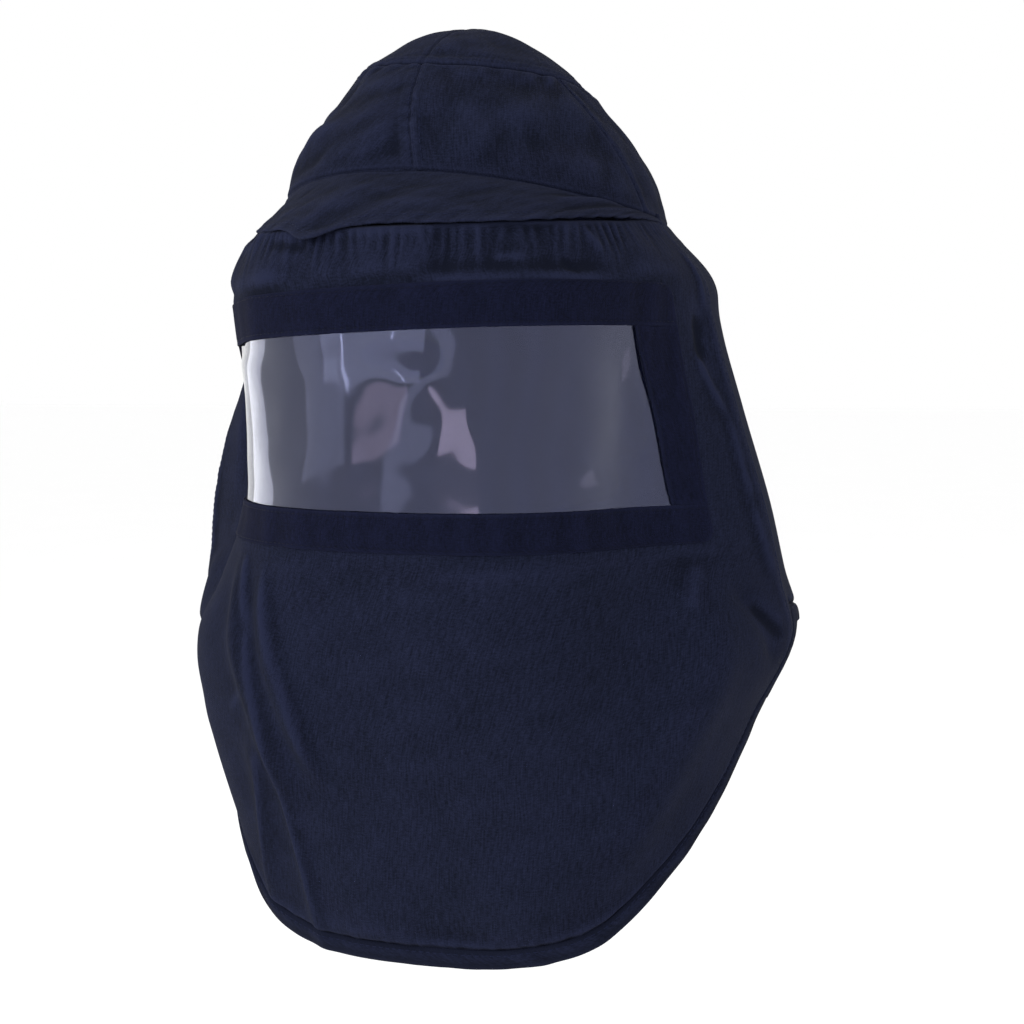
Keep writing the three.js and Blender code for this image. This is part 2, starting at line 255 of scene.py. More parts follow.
def spread(height: Array, reach: int) -> Array:
    """Mean height round each point of a grid.

    Args:
        height: the grid's heights.
        reach: how many points it takes in to each side.

    Returns:
        The mean at each point.
    """
    for axis in (0, 1):
        edges = [(reach + 1, reach) if axis == i else (0, 0) for i in (0, 1)]
        total = np.cumsum(np.pad(height, edges, "edge"), axis=axis)
        count = height.shape[axis]
        ahead = np.take(total, np.arange(count) + 2 * reach + 1, axis=axis)
        behind = np.take(total, np.arange(count), axis=axis)
        height = (ahead - behind) / (2 * reach + 1)
    return height


def crowded(length: float, coarse: float, fine: float = 0.8, near: float = 10.0) -> Array:
    """Places from 0 to 1 along a length, closer together near both ends where the seams are.

    Args:
        length: the whole length.
        coarse: spacing in the middle.
        fine: spacing near the ends.
        near: how far the fine spacing reaches.

    Returns:
        The places, both ends included.
    """
    near = min(near, length / 3)
    ends = np.arange(0, near, fine)
    count = max(2, round((length - 2 * near) / coarse) + 1)
    middle = np.linspace(near, length - near, count)
    return np.concatenate([ends, middle, length - ends[::-1]]) / length


@dataclass(frozen=True)
class HoodForm:
    """The hood's faces as they are worn: the crown filled out and the drape hanging, the same as the part's."""

    cloth: float = 1.6
    film: float = 0.6
    hem: float = 3.0
    gap: float = 0.1
    # A piece's edge goes on inside the next one, so that no light shows through the seams
    tuck: float = 2.5
    # Round the window the cloth and tapes are shown as thin as they look, so that the film lies nearly flush
    thin_cloth: float = 0.9
    thin_tape: float = 0.7
    thin_gap: float = 0.25
    top_seam: Seam = Seam(38, 34, 36, 7)
    rim_seam: Seam = Seam(106, 118, 122, 7)
    peak_edge: Seam = Seam(140, 127, 127, 0)
    top_outline: Outline = Outline(70, 80, 92, 2)
    rim_outline: Outline = Outline(122, 122, 146, 2)
    peak_outline: Outline = Outline(124, 168, 146, 2.3)
    top_rounding: float = 1.8
    crown_swell: float = 9
    peak_swell: float = 3
    sections: tuple[Section, ...] = (
        Section(120, 0, 138, 136, 170, 148),
        Section(150, 0, 150, 143, 173, 152),
        Section(185, 0, 154, 140, 172, 156),
        Section(240, 0, 170, 133, 169, 160),
        Section(300, 4, 188, 137, 170, 165),
        Section(345, 14, 197, 160, 176, 170),
        Section(385, 26, 205, 186, 182, 174),
        Section(430, 22, 188, 182, 170, 176),
        Section(480, 12, 174, 170, 149, 178),
        Section(530, 0, 159, 156, 126, 178),
        Section(580, 0, 146, 146, 112, 178),
    )
    drape_square: float = 2.4
    face_ends_left: float = 46
    face_ends_right: float = 62
    side_starts: float = 88
    brow_puff: float = 45
    puff_blend: float = 24
    hem_line: tuple[HemPoint, ...] = (
        HemPoint(0, 573),
        HemPoint(30, 571),
        HemPoint(50, 559),
        HemPoint(62, 530),
        HemPoint(72, 492),
        HemPoint(80, 450),
        HemPoint(86, 415),
        HemPoint(92, 383),
        HemPoint(110, 396),
        HemPoint(140, 422),
        HemPoint(180, 438),
    )
    hem_lean: float = 5
    hem_width: float = 11
    window_top: float = 198
    window_bottom: float = 296
    window_lean: float = 6
    window_sides: tuple[WindowSide, ...] = (
        WindowSide(174, 53, 66),
        WindowSide(198, 54.5, 68),
        WindowSide(245, 61, 71),
        WindowSide(296, 63.3, 70.5),
    )
    top_tape: float = 24
    bottom_tape: float = 22
    film_lap_down: float = 8
    film_lap_turn: float = 3
    crown_side_top: float = 62
    crown_side_rim: float = 76
    front_seam_top: float = -4
    front_seam_rim: float = 3
    side_seam: float = 84
    folds: tuple[Fold, ...] = (
        Fold(-36, 316, -26, 480, 10, 6),
        Fold(-27, 322, -17, 470, 8, 5),
        Fold(-27, 425, -30, 590, 9, 4),
        Fold(-31, 415, -49, 572, 10, 4),
        Fold(54, 316, 24, 530, 26, -7),
        Fold(67, 316, 46, 540, 16, 5),
        Fold(72, 340, 79, 400, 10, -5),
        Fold(84, 130, 84, 400, 10, 4),
        Fold(-84, 222, -84, 400, 10, 4),
        Fold(-76, 335, -76, 400, 16, 6),
    )
    # The upper tape pulls the cloth in under it beside the brow
    pull: Fold = Fold(-42, 164, -42, 216, 24, -3)
    fold_fade: float = 0.25
    fold_reach: float = 165
    dents: tuple[Dent, ...] = (
        Dent(20, 1.5, 15, 0.2, 4),
        Dent(50, 1.6, 12, 0.3, 5),
        Dent(-42, 1.25, 14, 0.2, 6),
        Dent(-68, 1.45, 24, 0.4, 5),
    )

    @property
    def tape_top(self) -> float:
        """Drop of the upper tape's top edge."""
        return self.window_top - self.top_tape

    @property
    def tape_bottom(self) -> float:
        """Drop of the lower tape's bottom edge."""
        return self.window_bottom + self.bottom_tape

    @property
    def seam_turn(self) -> float:
        """Angle of half the gap between pieces at the side seam."""
        return math.degrees(self.gap / 2 / self.rim_outline.half)

    @staticmethod
    def reach(outline: Outline, angle: Array) -> Array:
        """An outline's reach at an angle."""
        return HoodForm.oval(outline.half, outline.front, outline.back, outline.square, angle)

    @staticmethod
    def oval(half: Array, front: Array, back: Array, square: float, angle: Array) -> Array:
        """Reach of an oval whose corners fill out as square goes past 2.

        Args:
            half: half width.
            front: reach to the front.
            back: reach to the back.
            square: 2 for an ellipse.
            angle: where to read it.

        Returns:
            The distance from the oval's middle.
        """
        cos = np.cos(np.radians(angle))
        across = np.abs(np.sin(np.radians(angle))) / half
        forward = np.abs(cos) / np.where(cos > 0, front, back)
        return (across**square + forward**square) ** (-1 / square)

    @staticmethod
    def seam_down(seam: Seam, angle: Array) -> Array:
        """A seam line's drop at an angle."""
        cos = np.cos(np.radians(angle))
        level = mix(seam.side, np.where(cos > 0, seam.front, seam.back), cos**2)
        return level + seam.lean * np.sin(np.radians(angle))

    @staticmethod
    def place(angle: Array, radius: Array, middle: Array, down: Array) -> Array:
        """Points at an angle, radius and drop."""
        turn = np.radians(angle)
        x, y, z = radius * np.sin(turn), middle - radius * np.cos(turn), -down
        return np.stack(np.broadcast_arrays(x, y, z), axis=-1)

    def crown(self, angle: Array, s: Array) -> Array:
        """The crown's outer face.

        Args:
            angle: turn round the hood.
            s: 0 at the apex, 1 at the top seam and 2 at the rim seam.

        Returns:
            The points there.
        """
        top = self.seam_down(self.top_seam, angle)
        top_reach = self.reach(self.top_outline, angle)
        cap = self.place(angle, top_reach * s, 0.0, mix(-self.cloth, top, np.clip(s, 0, 1) ** self.top_rounding))
        t = np.clip(s - 1, 0, None)
        dent = 0.0
        for d in self.dents:
            dent = dent + d.depth * bell((turned(angle) - d.angle) / d.turn) * bell((s - d.s) / d.fall)
        swell = (self.crown_swell - dent) * np.sin(math.pi * t)
        radius = mix(top_reach, self.reach(self.rim_outline, angle), t) + swell
        wall = self.place(angle, radius, 0.0, mix(top, self.seam_down(self.rim_seam, angle), t))
        return np.where((s < 1)[..., None], cap, wall)

    def peak(self, angle: Array, s: Array) -> Array:
        """The peak's outer face.

        Args:
            angle: turn round the hood.
            s: 0 at the rim seam and 1 at the peak's edge.

        Returns:
            The points there.
        """
        rim = self.crown(angle, np.full_like(s, 2.0))
        edge = self.place(angle, self.reach(self.peak_outline, angle), 0.0, self.seam_down(self.peak_edge, angle))
        points = mix(rim, edge, s[..., None])
        points[..., 2] += self.peak_swell * np.sin(math.pi * s) * np.cos(np.radians(angle))
        return points

    def peak_edge_down(self, angle: Array) -> Array:
        """Top edge of the front panel, under the peak."""
        return self.seam_down(self.peak_edge, angle) + self.cloth + self.gap

    def rim_down(self, angle: Array) -> Array:
        """Top edge of the cape, under the crown."""
        return self.seam_down(self.rim_seam, angle) + self.gap

    def hem_edge(self, angle: Array) -> Array:
        """Drop of the hem's lower edge."""
        level = along(self.hem_line, "angle", np.abs(turned(angle)), "down")
        return level - self.hem_lean * np.sin(np.radians(angle))

    def hem_top(self, angle: Array) -> Array:
        """Drop of the hem's upper edge, a hem's width in along the cloth."""
        slope = (self.hem_edge(angle + 1) - self.hem_edge(angle - 1)) / (2 * math.radians(1) * self.fold_reach)
        return self.hem_edge(angle) - self.hem_width * np.hypot(1, slope)

    def tilted(self, level: Array, angle: Array) -> Array:
        """Drop of a level line across the window's frame, which is tilted above the window's bottom edge."""
        tilt = np.clip((self.window_bottom - level) / (self.window_bottom - self.window_top), 0, 1)
        return level - self.window_lean * tilt * np.sin(np.radians(angle))

    def window_turn(self, down: Array) -> Array:
        """The window's half angle at a drop."""
        return along(self.window_sides, "down", down, "inner")

    def tape_turn(self, down: Array) -> Array:
        """Half angle of the tapes' outer edges at a drop."""
        return along(self.window_sides, "down", down, "outer")

    def fold_rise(self, angle: Array, down: Array) -> Array:
        """How far the main folds lift the drape.

        Args:
            angle: turn round the hood.
            down: drop below the crown's top.

        Returns:
            The lift at each place.
        """
        total = np.zeros(np.broadcast(angle, down).shape)
        for fold in (*self.folds, self.pull):
            t = (down - fold.from_down) / (fold.to_down - fold.from_down)
            crest = mix(fold.from_angle, fold.to_angle, t)
            fade = smooth(t, 0, self.fold_fade) * (1 - smooth(t, 1 - self.fold_fade, 1))
            total += fold.rise * fade * bell(np.radians(angle - crest) * self.fold_reach / fold.width)
        return total

    def drape(self, turn: Array, down: Array) -> Array:
        """The drape's outer face.

        Args:
            turn: turn round the hood.
            down: drop below the crown's top.

        Returns:
            The points there.
        """
        angle = turned(turn)
        half, face, front, back, middle = (
            along(self.sections, "down", down, name) for name in ("half", "face", "front", "back", "middle")
        )
        face_ends = np.where(angle > 0, self.face_ends_left, self.face_ends_right)
        aside = smooth(np.abs(angle), face_ends, self.side_starts)
        full = mix(
            self.oval(face, front, back, self.drape_square, angle),
            self.oval(half, front, back, self.drape_square, angle),
            aside,
        )
        behind = smooth(np.abs(angle), self.side_seam, self.side_seam + self.puff_blend)
        top = mix(self.peak_edge_down(angle), self.rim_down(angle), behind)
        start = mix(self.reach(self.peak_outline, angle), self.reach(self.rim_outline, angle), behind)
        puff = np.sin(math.pi / 2 * np.clip((down - top) / self.brow_puff, 0, 1))
        return self.place(angle, mix(start, full, puff) + self.fold_rise(angle, down), middle, down)


@dataclass
class Patch:
    """A fine grid of points on a piece's outer face, in rows from top to bottom, and the wall behind it.

    A round patch's columns run all the way round and its first row closes over the middle. Its edges roll out by
    "roll", and "kept" says which quads are cloth.
    """

    name: str
    points: Array
    wall: float
    roll: float = 0.2
    is_round: bool = False
    kept: Array | None = None
    relief: Array | float = 0.0
    relief_reach: int = 4
    # A domed top is cut larger than it measures across
    dome_ease: float = 1.15

    def normals(self) -> Array:
        """Outward normals at the points."""
        grid = self.points
        if self.is_round:
            grid = np.concatenate([grid[:, -1:], grid, grid[:, :1]], axis=1)
        normal = np.cross(np.gradient(grid, axis=0), np.gradient(grid, axis=1))
        normal /= np.maximum(np.linalg.norm(normal, axis=-1, keepdims=True), TINY)
        return normal[:, 1:-1] if self.is_round else normal

    def run(self, axis: int) -> Array:
        """Length along the cloth from the first row (axis 0) or column (axis 1)."""
        steps = np.linalg.norm(np.diff(self.points, axis=axis), axis=-1)
        zero = np.zeros_like(np.take(self.points[..., 0], [0], axis=axis))
        return np.concatenate([zero, np.cumsum(steps, axis=axis)], axis=axis)

    def to_edge(self, edge: Edge) -> Array:
        """Length along the cloth to one of its edges."""
        length = self.run(0 if edge in (Edge.TOP, Edge.BOTTOM) else 1)
        if edge is Edge.BOTTOM:
            return length[-1:, :] - length
        return length[:, -1:] - length if edge is Edge.RIGHT else length

    def lift(self, height: Array) -> None:
        """Moves the points out along their normals, and notes where they stand out from the cloth round them."""
        self.points = self.points + self.normals() * height[..., None]
        self.relief = height - spread(height, self.relief_reach)

    def line(self, edge: Edge, distance: float) -> tuple[Array, Array]:
        """A line that keeps a distance from an edge.

        Args:
            edge: the edge.
            distance: length along the cloth from it.

        Returns:
            The line's points and the normals there.
        """
        away = self.to_edge(edge)
        points, normals = self.points, self.normals()
        if edge in (Edge.LEFT, Edge.RIGHT):
            away, points, normals = away.T, points.swapaxes(0, 1), normals.swapaxes(0, 1)
        if edge in (Edge.BOTTOM, Edge.RIGHT):
            away, points, normals = away[::-1], points[::-1], normals[::-1]
        columns = np.arange(away.shape[1])
        i = np.clip((away < distance).sum(axis=0) - 1, 0, len(away) - 2)
        near, far = away[i, columns], away[i + 1, columns]
        t = np.clip((distance - near) / np.maximum(far - near, TINY), 0, 1)[:, None]
        return (
            mix(points[i, columns], points[i + 1, columns], t),
            mix(normals[i, columns], normals[i + 1, columns], t),
        )

    def quads(self) -> Array:
        """Corner numbers of the grid's kept quads, outer face out."""
        rows, columns = self.points.shape[:2]
        number = np.arange(rows * columns).reshape(rows, columns)
        right = np.roll(number, -1, axis=1)
        corners = np.stack([number[:-1], number[1:], right[1:], right[:-1]], axis=-1)
        if not self.is_round:
            corners = corners[:, :-1]
        if self.kept is not None:
            return corners[self.kept]
        return corners.reshape(-1, 4)

    def cut(self) -> tuple[tuple[float, float], float]:
        """The flat size that the cloth was cut to, in metres.

        Returns:
            The greatest width and length along the cloth, and the area of the cut.
        """
        points = self.points.reshape(-1, 3)
        first, second, third, fourth = points[self.quads()].swapaxes(0, 1)
        diagonal = third - first
        halves = np.cross(second - first, diagonal), np.cross(diagonal, fourth - first)
        area = sum(np.linalg.norm(half, axis=1).sum() for half in halves) / 2
        width, length = self.run(1)[:, -1].max(), self.run(0)[-1].max()
        if self.is_round:
            width, length = np.ptp(points, axis=0)[:2] * self.dome_ease
        return (float(width * MM), float(length * MM)), float(area * MM * MM)

    def build(self, material: bpy.types.Material) -> bpy.types.Object:
        """Makes the closed wall.

        Args:
            material: its finish.

        Returns:
            The new object, riding on the part.
        """
        quads = self.quads()
        used, quads = np.unique(quads, return_inverse=True)
        quads = quads.reshape(-1, 4)
        count = len(used)
        outer = self.points.reshape(-1, 3)[used]
        normal = self.normals().reshape(-1, 3)[used]
        inner = outer - normal * self.wall
        edges = np.concatenate([quads[:, [i, (i + 1) % 4]] for i in range(4)])
        keys, back = edges[:, 0] * count + edges[:, 1], edges[:, 1] * count + edges[:, 0]
        rim = edges[~np.isin(back, keys)]
        faces = [*quads.tolist(), *(quads[:, ::-1] + count).tolist()]
        if self.is_round:
            first = self.points.shape[1]
            rim = rim[(rim >= first).any(axis=1)]
            faces += [list(range(first)), list(range(count + first - 1, count - 1, -1))]
        away = np.zeros_like(outer)
        sideways = np.cross(outer[rim[:, 1]] - outer[rim[:, 0]], normal[rim[:, 0]])
        np.add.at(away, rim[:, 0], sideways)
        np.add.at(away, rim[:, 1], sideways)
        on_rim = np.unique(rim)
        away = away[on_rim] / np.maximum(np.linalg.norm(away[on_rim], axis=1, keepdims=True), TINY)
        middle = (outer[on_rim] + inner[on_rim]) / 2 + away * self.roll
        number = np.zeros(count, int)
        number[on_rim] = 2 * count + np.arange(len(on_rim))
        start, end = rim[:, 0], rim[:, 1]
        faces += np.stack([end, start, number[start], number[end]], axis=1).tolist()
        faces += np.stack([number[end], number[start], start + count, end + count], axis=1).tolist()
        flat = self.points[..., :2] if self.is_round else np.stack([self.run(1), -self.run(0)], axis=-1)
        flat = flat.reshape(-1, 2)[used] * MM
        seam = np.minimum.reduce([self.to_edge(edge) for edge in Edge]).reshape(-1)[used]
        mesh = new_mesh(
            self.name,
            np.concatenate([outer, inner, middle]),
            faces,
            np.concatenate([flat, flat, flat[on_rim]]),
        )
        # The relief lets the woven finishes paint light on crests and shade in hollows
        relief = np.broadcast_to(self.relief, self.points.shape[:2]).reshape(-1)[used]
        for name, values in (("seam_distance", seam), ("relief", relief)):
            note = mesh.attributes.new(name, "FLOAT", "POINT")
            note.data.foreach_set("value", np.concatenate([values, values, values[on_rim]]).astype(np.float32))
        return add_object(self.name, mesh, material)


def new_mesh(name: str, points: Array, faces: list[list[int]], flat: Array) -> bpy.types.Mesh:
    """A smooth mesh in metres with its flat layout as UVs.

    Args:
        name: its name.
        points: corners in millimetres.
        faces: corner numbers of each face.
        flat: each corner's place on the flat cloth, in metres.

    Returns:
        The new mesh.
    """
    mesh = bpy.data.meshes.new(name)
    mesh.from_pydata((points * MM).tolist(), [], faces)
    mesh.polygons.foreach_set("use_smooth", np.ones(len(mesh.polygons), bool))
    corners = np.zeros(len(mesh.loops), np.int32)
    mesh.loops.foreach_get("vertex_index", corners)
    mesh.uv_layers.new(name="flat").data.foreach_set("uv", flat[corners].astype(np.float32).ravel())
    mesh.update()
    return mesh


def add_object(name: str, mesh: bpy.types.Mesh, material: bpy.types.Material) -> bpy.types.Object:
    """Links a finished mesh into the scene, riding on the part."""
    mesh.materials.append(material)
    made = bpy.data.objects.new(name, mesh)
    bpy.context.scene.collection.objects.link(made)
    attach(made, "root")
    LOG.info("%s: %d faces", name, len(mesh.polygons))
    return made


def linear(colour: str) -> tuple[float, float, float, float]:
    """An sRGB hex colour as linear red, green, blue and alpha."""
    parts = [int(colour[i : i + 2], 16) / 255 for i in (1, 3, 5)]
    red, green, blue = (p / 12.92 if p <= 0.04045 else ((p + 0.055) / 1.055) ** 2.4 for p in parts)
    return red, green, blue, 1.0


def add_node(
    tree: bpy.types.NodeTree, kind: str, inputs: dict | None = None, **settings: object
) -> bpy.types.Node:
    """Adds a node to a tree.

    Args:
        tree: the tree.
        kind: the node's type.
        inputs: for each input, a value or the socket to link from.
        settings: the node's own settings.

    Returns:
        The new node.
    """
    node = tree.nodes.new(kind)
    for name, value in settings.items():
        setattr(node, name, value)
    for name, value in (inputs or {}).items():
        if isinstance(value, bpy.types.NodeSocket):
            tree.links.new(value, node.inputs[name])
        else:
            node.inputs[name].default_value = value
    return node


def new_material(name: str) -> tuple[bpy.types.Material, bpy.types.NodeTree]:
    """An empty material and its tree."""
    material = bpy.data.materials.new(name)
    material.use_nodes = True
    material.node_tree.nodes.clear()
    return material, material.node_tree


@dataclass(frozen=True)
class WovenCotton:
    """Plain-woven cotton: yarns in two directions, dyed unevenly, so it looks slightly heathered and matt."""

    name: str
    dark: str
    light: str
    worn: str
    pitch: float
    # The dye's streaks run long along the warp and short along the weft
    warp_stretch: tuple[float, float, float] = (1.0, 0.1, 1.0)
    weft_stretch: tuple[float, float, float] = (0.35, 1.0, 1.0)
    streak_rate: float = 0.9
    cloud_rate: float = 14.0
    cloud_share: float = 0.1
    # Painted light and shade: crests are painted lighter and hollows darker, by this much at a millimetre of
    # relief
    painted_hollow_shade: float = -0.6
    painted_crest_light: float = 0.5
    darkest: float = 0.63
    lightest: float = 1.47
    # Seams are worn pale in patches
    worn_reach: float = 4.0
    worn_share: float = 0.4
    weave_share: float = 0.5
    bump: float = 0.55
    bump_depth: float = 0.25
    roughness: float = 0.92
    specular: float = 0.02
    sheen: float = 0.01
    sheen_roughness: float = 0.5

    def material(self) -> bpy.types.Material:
        """Makes the finish."""
        material, tree = new_material(self.name)
        flat = add_node(tree, "ShaderNodeUVMap", uv_map="flat").outputs[0]
        axes = add_node(tree, "ShaderNodeSeparateXYZ", {0: flat}).outputs
        rate = math.pi / (self.pitch * MM)
        warp, weft = (self.yarns(tree, axis, rate) for axis in axes[:2])
        weave = add_node(tree, "ShaderNodeMath", {0: warp, 1: weft}, operation="MULTIPLY").outputs[0]
        shades = [self.streaks(tree, flat, stretch) for stretch in (self.warp_stretch, self.weft_stretch)]
        heather = add_node(tree, "ShaderNodeMath", {0: shades[0], 1: shades[1]}, operation="ADD").outputs[0]
        clouds = add_node(
            tree,
            "ShaderNodeTexNoise",
            {"Vector": flat, "Scale": self.cloud_rate, "Detail": 3.0},
            noise_dimensions="2D",
        ).outputs[0]
        tone = add_node(
            tree, "ShaderNodeMath", {0: clouds, 1: self.cloud_share, 2: heather}, operation="MULTIPLY_ADD"
        ).outputs[0]
        # Painted light and shade from the relief: lighter on crests, darker in hollows
        relief = add_node(tree, "ShaderNodeAttribute", attribute_name="relief").outputs["Fac"]
        painted_relief_light = add_node(
            tree,
            "ShaderNodeMapRange",
            {
                "Value": relief,
                "From Min": -1.0,
                "From Max": 1.0,
                "To Min": self.painted_hollow_shade,
                "To Max": self.painted_crest_light,
            },
        ).outputs[0]
        # The random tone with the painted light and shade added
        used = add_node(tree, "ShaderNodeMath", {0: tone, 1: painted_relief_light}, operation="ADD").outputs[0]
        shade = add_node(
            tree, "ShaderNodeMapRange", {"Value": used, "From Min": self.darkest, "From Max": self.lightest}
        ).outputs[0]
        dyed = add_node(
            tree,
            "ShaderNodeMix",
            {0: shade, 6: linear(self.dark), 7: linear(self.light)},
            data_type="RGBA",
        ).outputs[2]
        seam = add_node(tree, "ShaderNodeAttribute", attribute_name="seam_distance").outputs["Fac"]
        rubbed = add_node(
            tree,
            "ShaderNodeMapRange",
            {
                "Value": seam,
                "From Min": 0.0,
                "From Max": self.worn_reach,
                "To Min": self.worn_share,
                "To Max": 0.0,
            },
        ).outputs[0]
        patchy = add_node(tree, "ShaderNodeMath", {0: rubbed, 1: clouds}, operation="MULTIPLY").outputs[0]
        colour = add_node(
            tree, "ShaderNodeMix", {0: patchy, 6: dyed, 7: linear(self.worn)}, data_type="RGBA"
        ).outputs[2]
        height = add_node(
            tree, "ShaderNodeMath", {0: weave, 1: self.weave_share, 2: heather}, operation="MULTIPLY_ADD"
        ).outputs[0]
        bump = add_node(
            tree,
            "ShaderNodeBump",
            {"Strength": self.bump, "Distance": self.bump_depth * MM, "Height": height},
        ).outputs[0]
        surface = add_node(
            tree,
            "ShaderNodeBsdfPrincipled",
            {
                "Base Color": colour,
                "Roughness": self.roughness,
                "Specular IOR Level": self.specular,
                "Sheen Weight": self.sheen,
                "Sheen Roughness": self.sheen_roughness,
                "Normal": bump,
            },
        ).outputs[0]
        add_node(tree, "ShaderNodeOutputMaterial", {0: surface})
        return material

    @staticmethod
    def yarns(tree: bpy.types.NodeTree, axis: bpy.types.NodeSocket, rate: float) -> bpy.types.NodeSocket:
        """Ups and downs of the yarns along one axis."""
        turn = add_node(tree, "ShaderNodeMath", {0: axis, 1: rate}, operation="MULTIPLY").outputs[0]
        return add_node(tree, "ShaderNodeMath", {0: turn}, operation="SINE").outputs[0]

    def streaks(
        self, tree: bpy.types.NodeTree, flat: bpy.types.NodeSocket, stretch: tuple[float, float, float]
    ) -> bpy.types.NodeSocket:
        """Uneven dye along the yarns of one direction.

        Args:
            tree: the material's tree.
            flat: place on the flat cloth.
            stretch: how fast the dye changes across and along.

        Returns:
            The dye's share.
        """
        place = add_node(tree, "ShaderNodeMapping", {"Vector": flat, "Scale": stretch}).outputs[0]
        scale = self.streak_rate / (self.pitch * MM)
        return add_node(
            tree,
            "ShaderNodeTexNoise",
            {"Vector": place, "Scale": scale, "Detail": 2.0, "Roughness": 0.6},
            noise_dimensions="2D",
        ).outputs[0]


@dataclass(frozen=True)
class ClearFilm:
    """Cast clear polyester film: glossy on both faces, so it mirrors the room over the dark inside, bluish."""

    name: str
    tint: str
    mirror_tint: str
    roughness: float = 0.05
    ior: float = 1.57

    def material(self) -> bpy.types.Material:
        """Makes the finish."""
        material, tree = new_material(self.name)
        surface = add_node(
            tree,
            "ShaderNodeBsdfPrincipled",
            {
                "Base Color": linear(self.tint),
                "Roughness": self.roughness,
                "IOR": self.ior,
                "Specular Tint": linear(self.mirror_tint),
                "Transmission Weight": 1.0,
            },
        ).outputs[0]
        add_node(tree, "ShaderNodeOutputMaterial", {0: surface})
        return material


@dataclass(frozen=True)
class SpunThread:
    """Spun sewing thread: plied, slightly glossier than the cloth, so the stitches catch a little light."""

    name: str
    colour: str
    ply_rate: float = 400.0
    bump: float = 0.4
    bump_depth: float = 0.1
    roughness: float = 0.6
    specular: float = 0.06

    def material(self) -> bpy.types.Material:
        """Makes the finish."""
        material, tree = new_material(self.name)
        flat = add_node(tree, "ShaderNodeUVMap", uv_map="flat").outputs[0]
        ply = add_node(
            tree, "ShaderNodeTexWave", {"Vector": flat, "Scale": self.ply_rate}, bands_direction="DIAGONAL"
        ).outputs[1]
        bump = add_node(
            tree, "ShaderNodeBump", {"Strength": self.bump, "Distance": self.bump_depth * MM, "Height": ply}
        ).outputs[0]
        surface = add_node(
            tree,
            "ShaderNodeBsdfPrincipled",
            {
                "Base Color": linear(self.colour),
                "Roughness": self.roughness,
                "Specular IOR Level": self.specular,
                "Normal": bump,
            },
        ).outputs[0]
        add_node(tree, "ShaderNodeOutputMaterial", {0: surface})
        return material


@dataclass(frozen=True)
class Finishes:
    """The hood's finishes."""

    cloth: bpy.types.Material
    tape: bpy.types.Material
    film: bpy.types.Material
    thread: bpy.types.Material
    tape_thread: bpy.types.Material


@dataclass
class Stitching:
    """Rows of single stitches, one mesh for each sub-assembly. Each stitch bows out and dips into the cloth."""

    name: str
    pitch: float = 4.4
    length: float = 3.3
    thick: float = 0.55
    # Shares of the thickness: how far a stitch bows out, how deep it sits, and how flat the thread is pressed
    bow: float = 0.5
    sunk: float = 0.3
    pressed: float = 0.5
    sides: int = 6
    rings: int = 6
    lines: list[tuple[Array, Array]] = field(default_factory=list)

    def add(self, line: tuple[Array, Array]) -> None:
        """Takes another line to sew along."""
        self.lines.append(line)

    def sew(self, material: bpy.types.Material, slot: Slot) -> bpy.types.Object:
        """Makes the stitches of all lines.

        Args:
            material: the thread.
            slot: not used.

        Returns:
            The new object.
        """
        points, faces, flat, count = [], [], [], 0
        for line, normals in self.lines:
            run = np.concatenate([[0], np.cumsum(np.linalg.norm(np.diff(line, axis=0), axis=1))])
            for start in np.arange(self.pitch / 2, run[-1] - self.length, self.pitch):
                at = np.linspace(start, start + self.length, self.rings)
                middle = np.stack([np.interp(at, run, line[:, i]) for i in range(3)], axis=1)
                out = np.stack([np.interp(at, run, normals[:, i]) for i in range(3)], axis=1)
                lift = self.bow * np.sin(np.linspace(0, math.pi, self.rings)) - self.sunk
                points.append(self.tube(middle + out * (self.thick * lift)[:, None], out))
                faces += self.tube_faces(count)
                around = np.tile(np.arange(self.sides) * self.thick / 2, self.rings)
                flat.append(np.stack([np.repeat(at, self.sides), around], axis=1) * MM)
                count += self.rings * self.sides
        mesh = new_mesh(self.name, np.concatenate(points), faces, np.concatenate(flat))
        return add_object(self.name, mesh, material)

    def tube(self, middle: Array, out: Array) -> Array:
        """Rings of points round a stitch's middle line.

        Args:
            middle: the line's points.
            out: the cloth's normals there.

        Returns:
            The points, ring by ring.
        """
        ahead = np.gradient(middle, axis=0)
        ahead /= np.linalg.norm(ahead, axis=1, keepdims=True)
        side = np.cross(ahead, out)
        turn = np.linspace(0, 2 * math.pi, self.sides, endpoint=False)
        taper = np.sin(np.linspace(0.25 * math.pi, 0.75 * math.pi, len(middle))) * self.thick / 2
        ring = side[:, None] * np.cos(turn)[:, None] + self.pressed * out[:, None] * np.sin(turn)[:, None]
        return (middle[:, None] + ring * taper[:, None, None]).reshape(-1, 3)

    def tube_faces(self, first: int) -> list[list[int]]:
        """Faces between a stitch's rings, and its two ends."""
        number = first + np.arange(self.rings * self.sides).reshape(self.rings, self.sides)
        right = np.roll(number, -1, axis=1)
        walls = np.stack([number[:-1], number[1:], right[1:], right[:-1]], axis=-1).reshape(-1, 4)
        return [*walls.tolist(), number[0].tolist(), number[-1][::-1].tolist()]


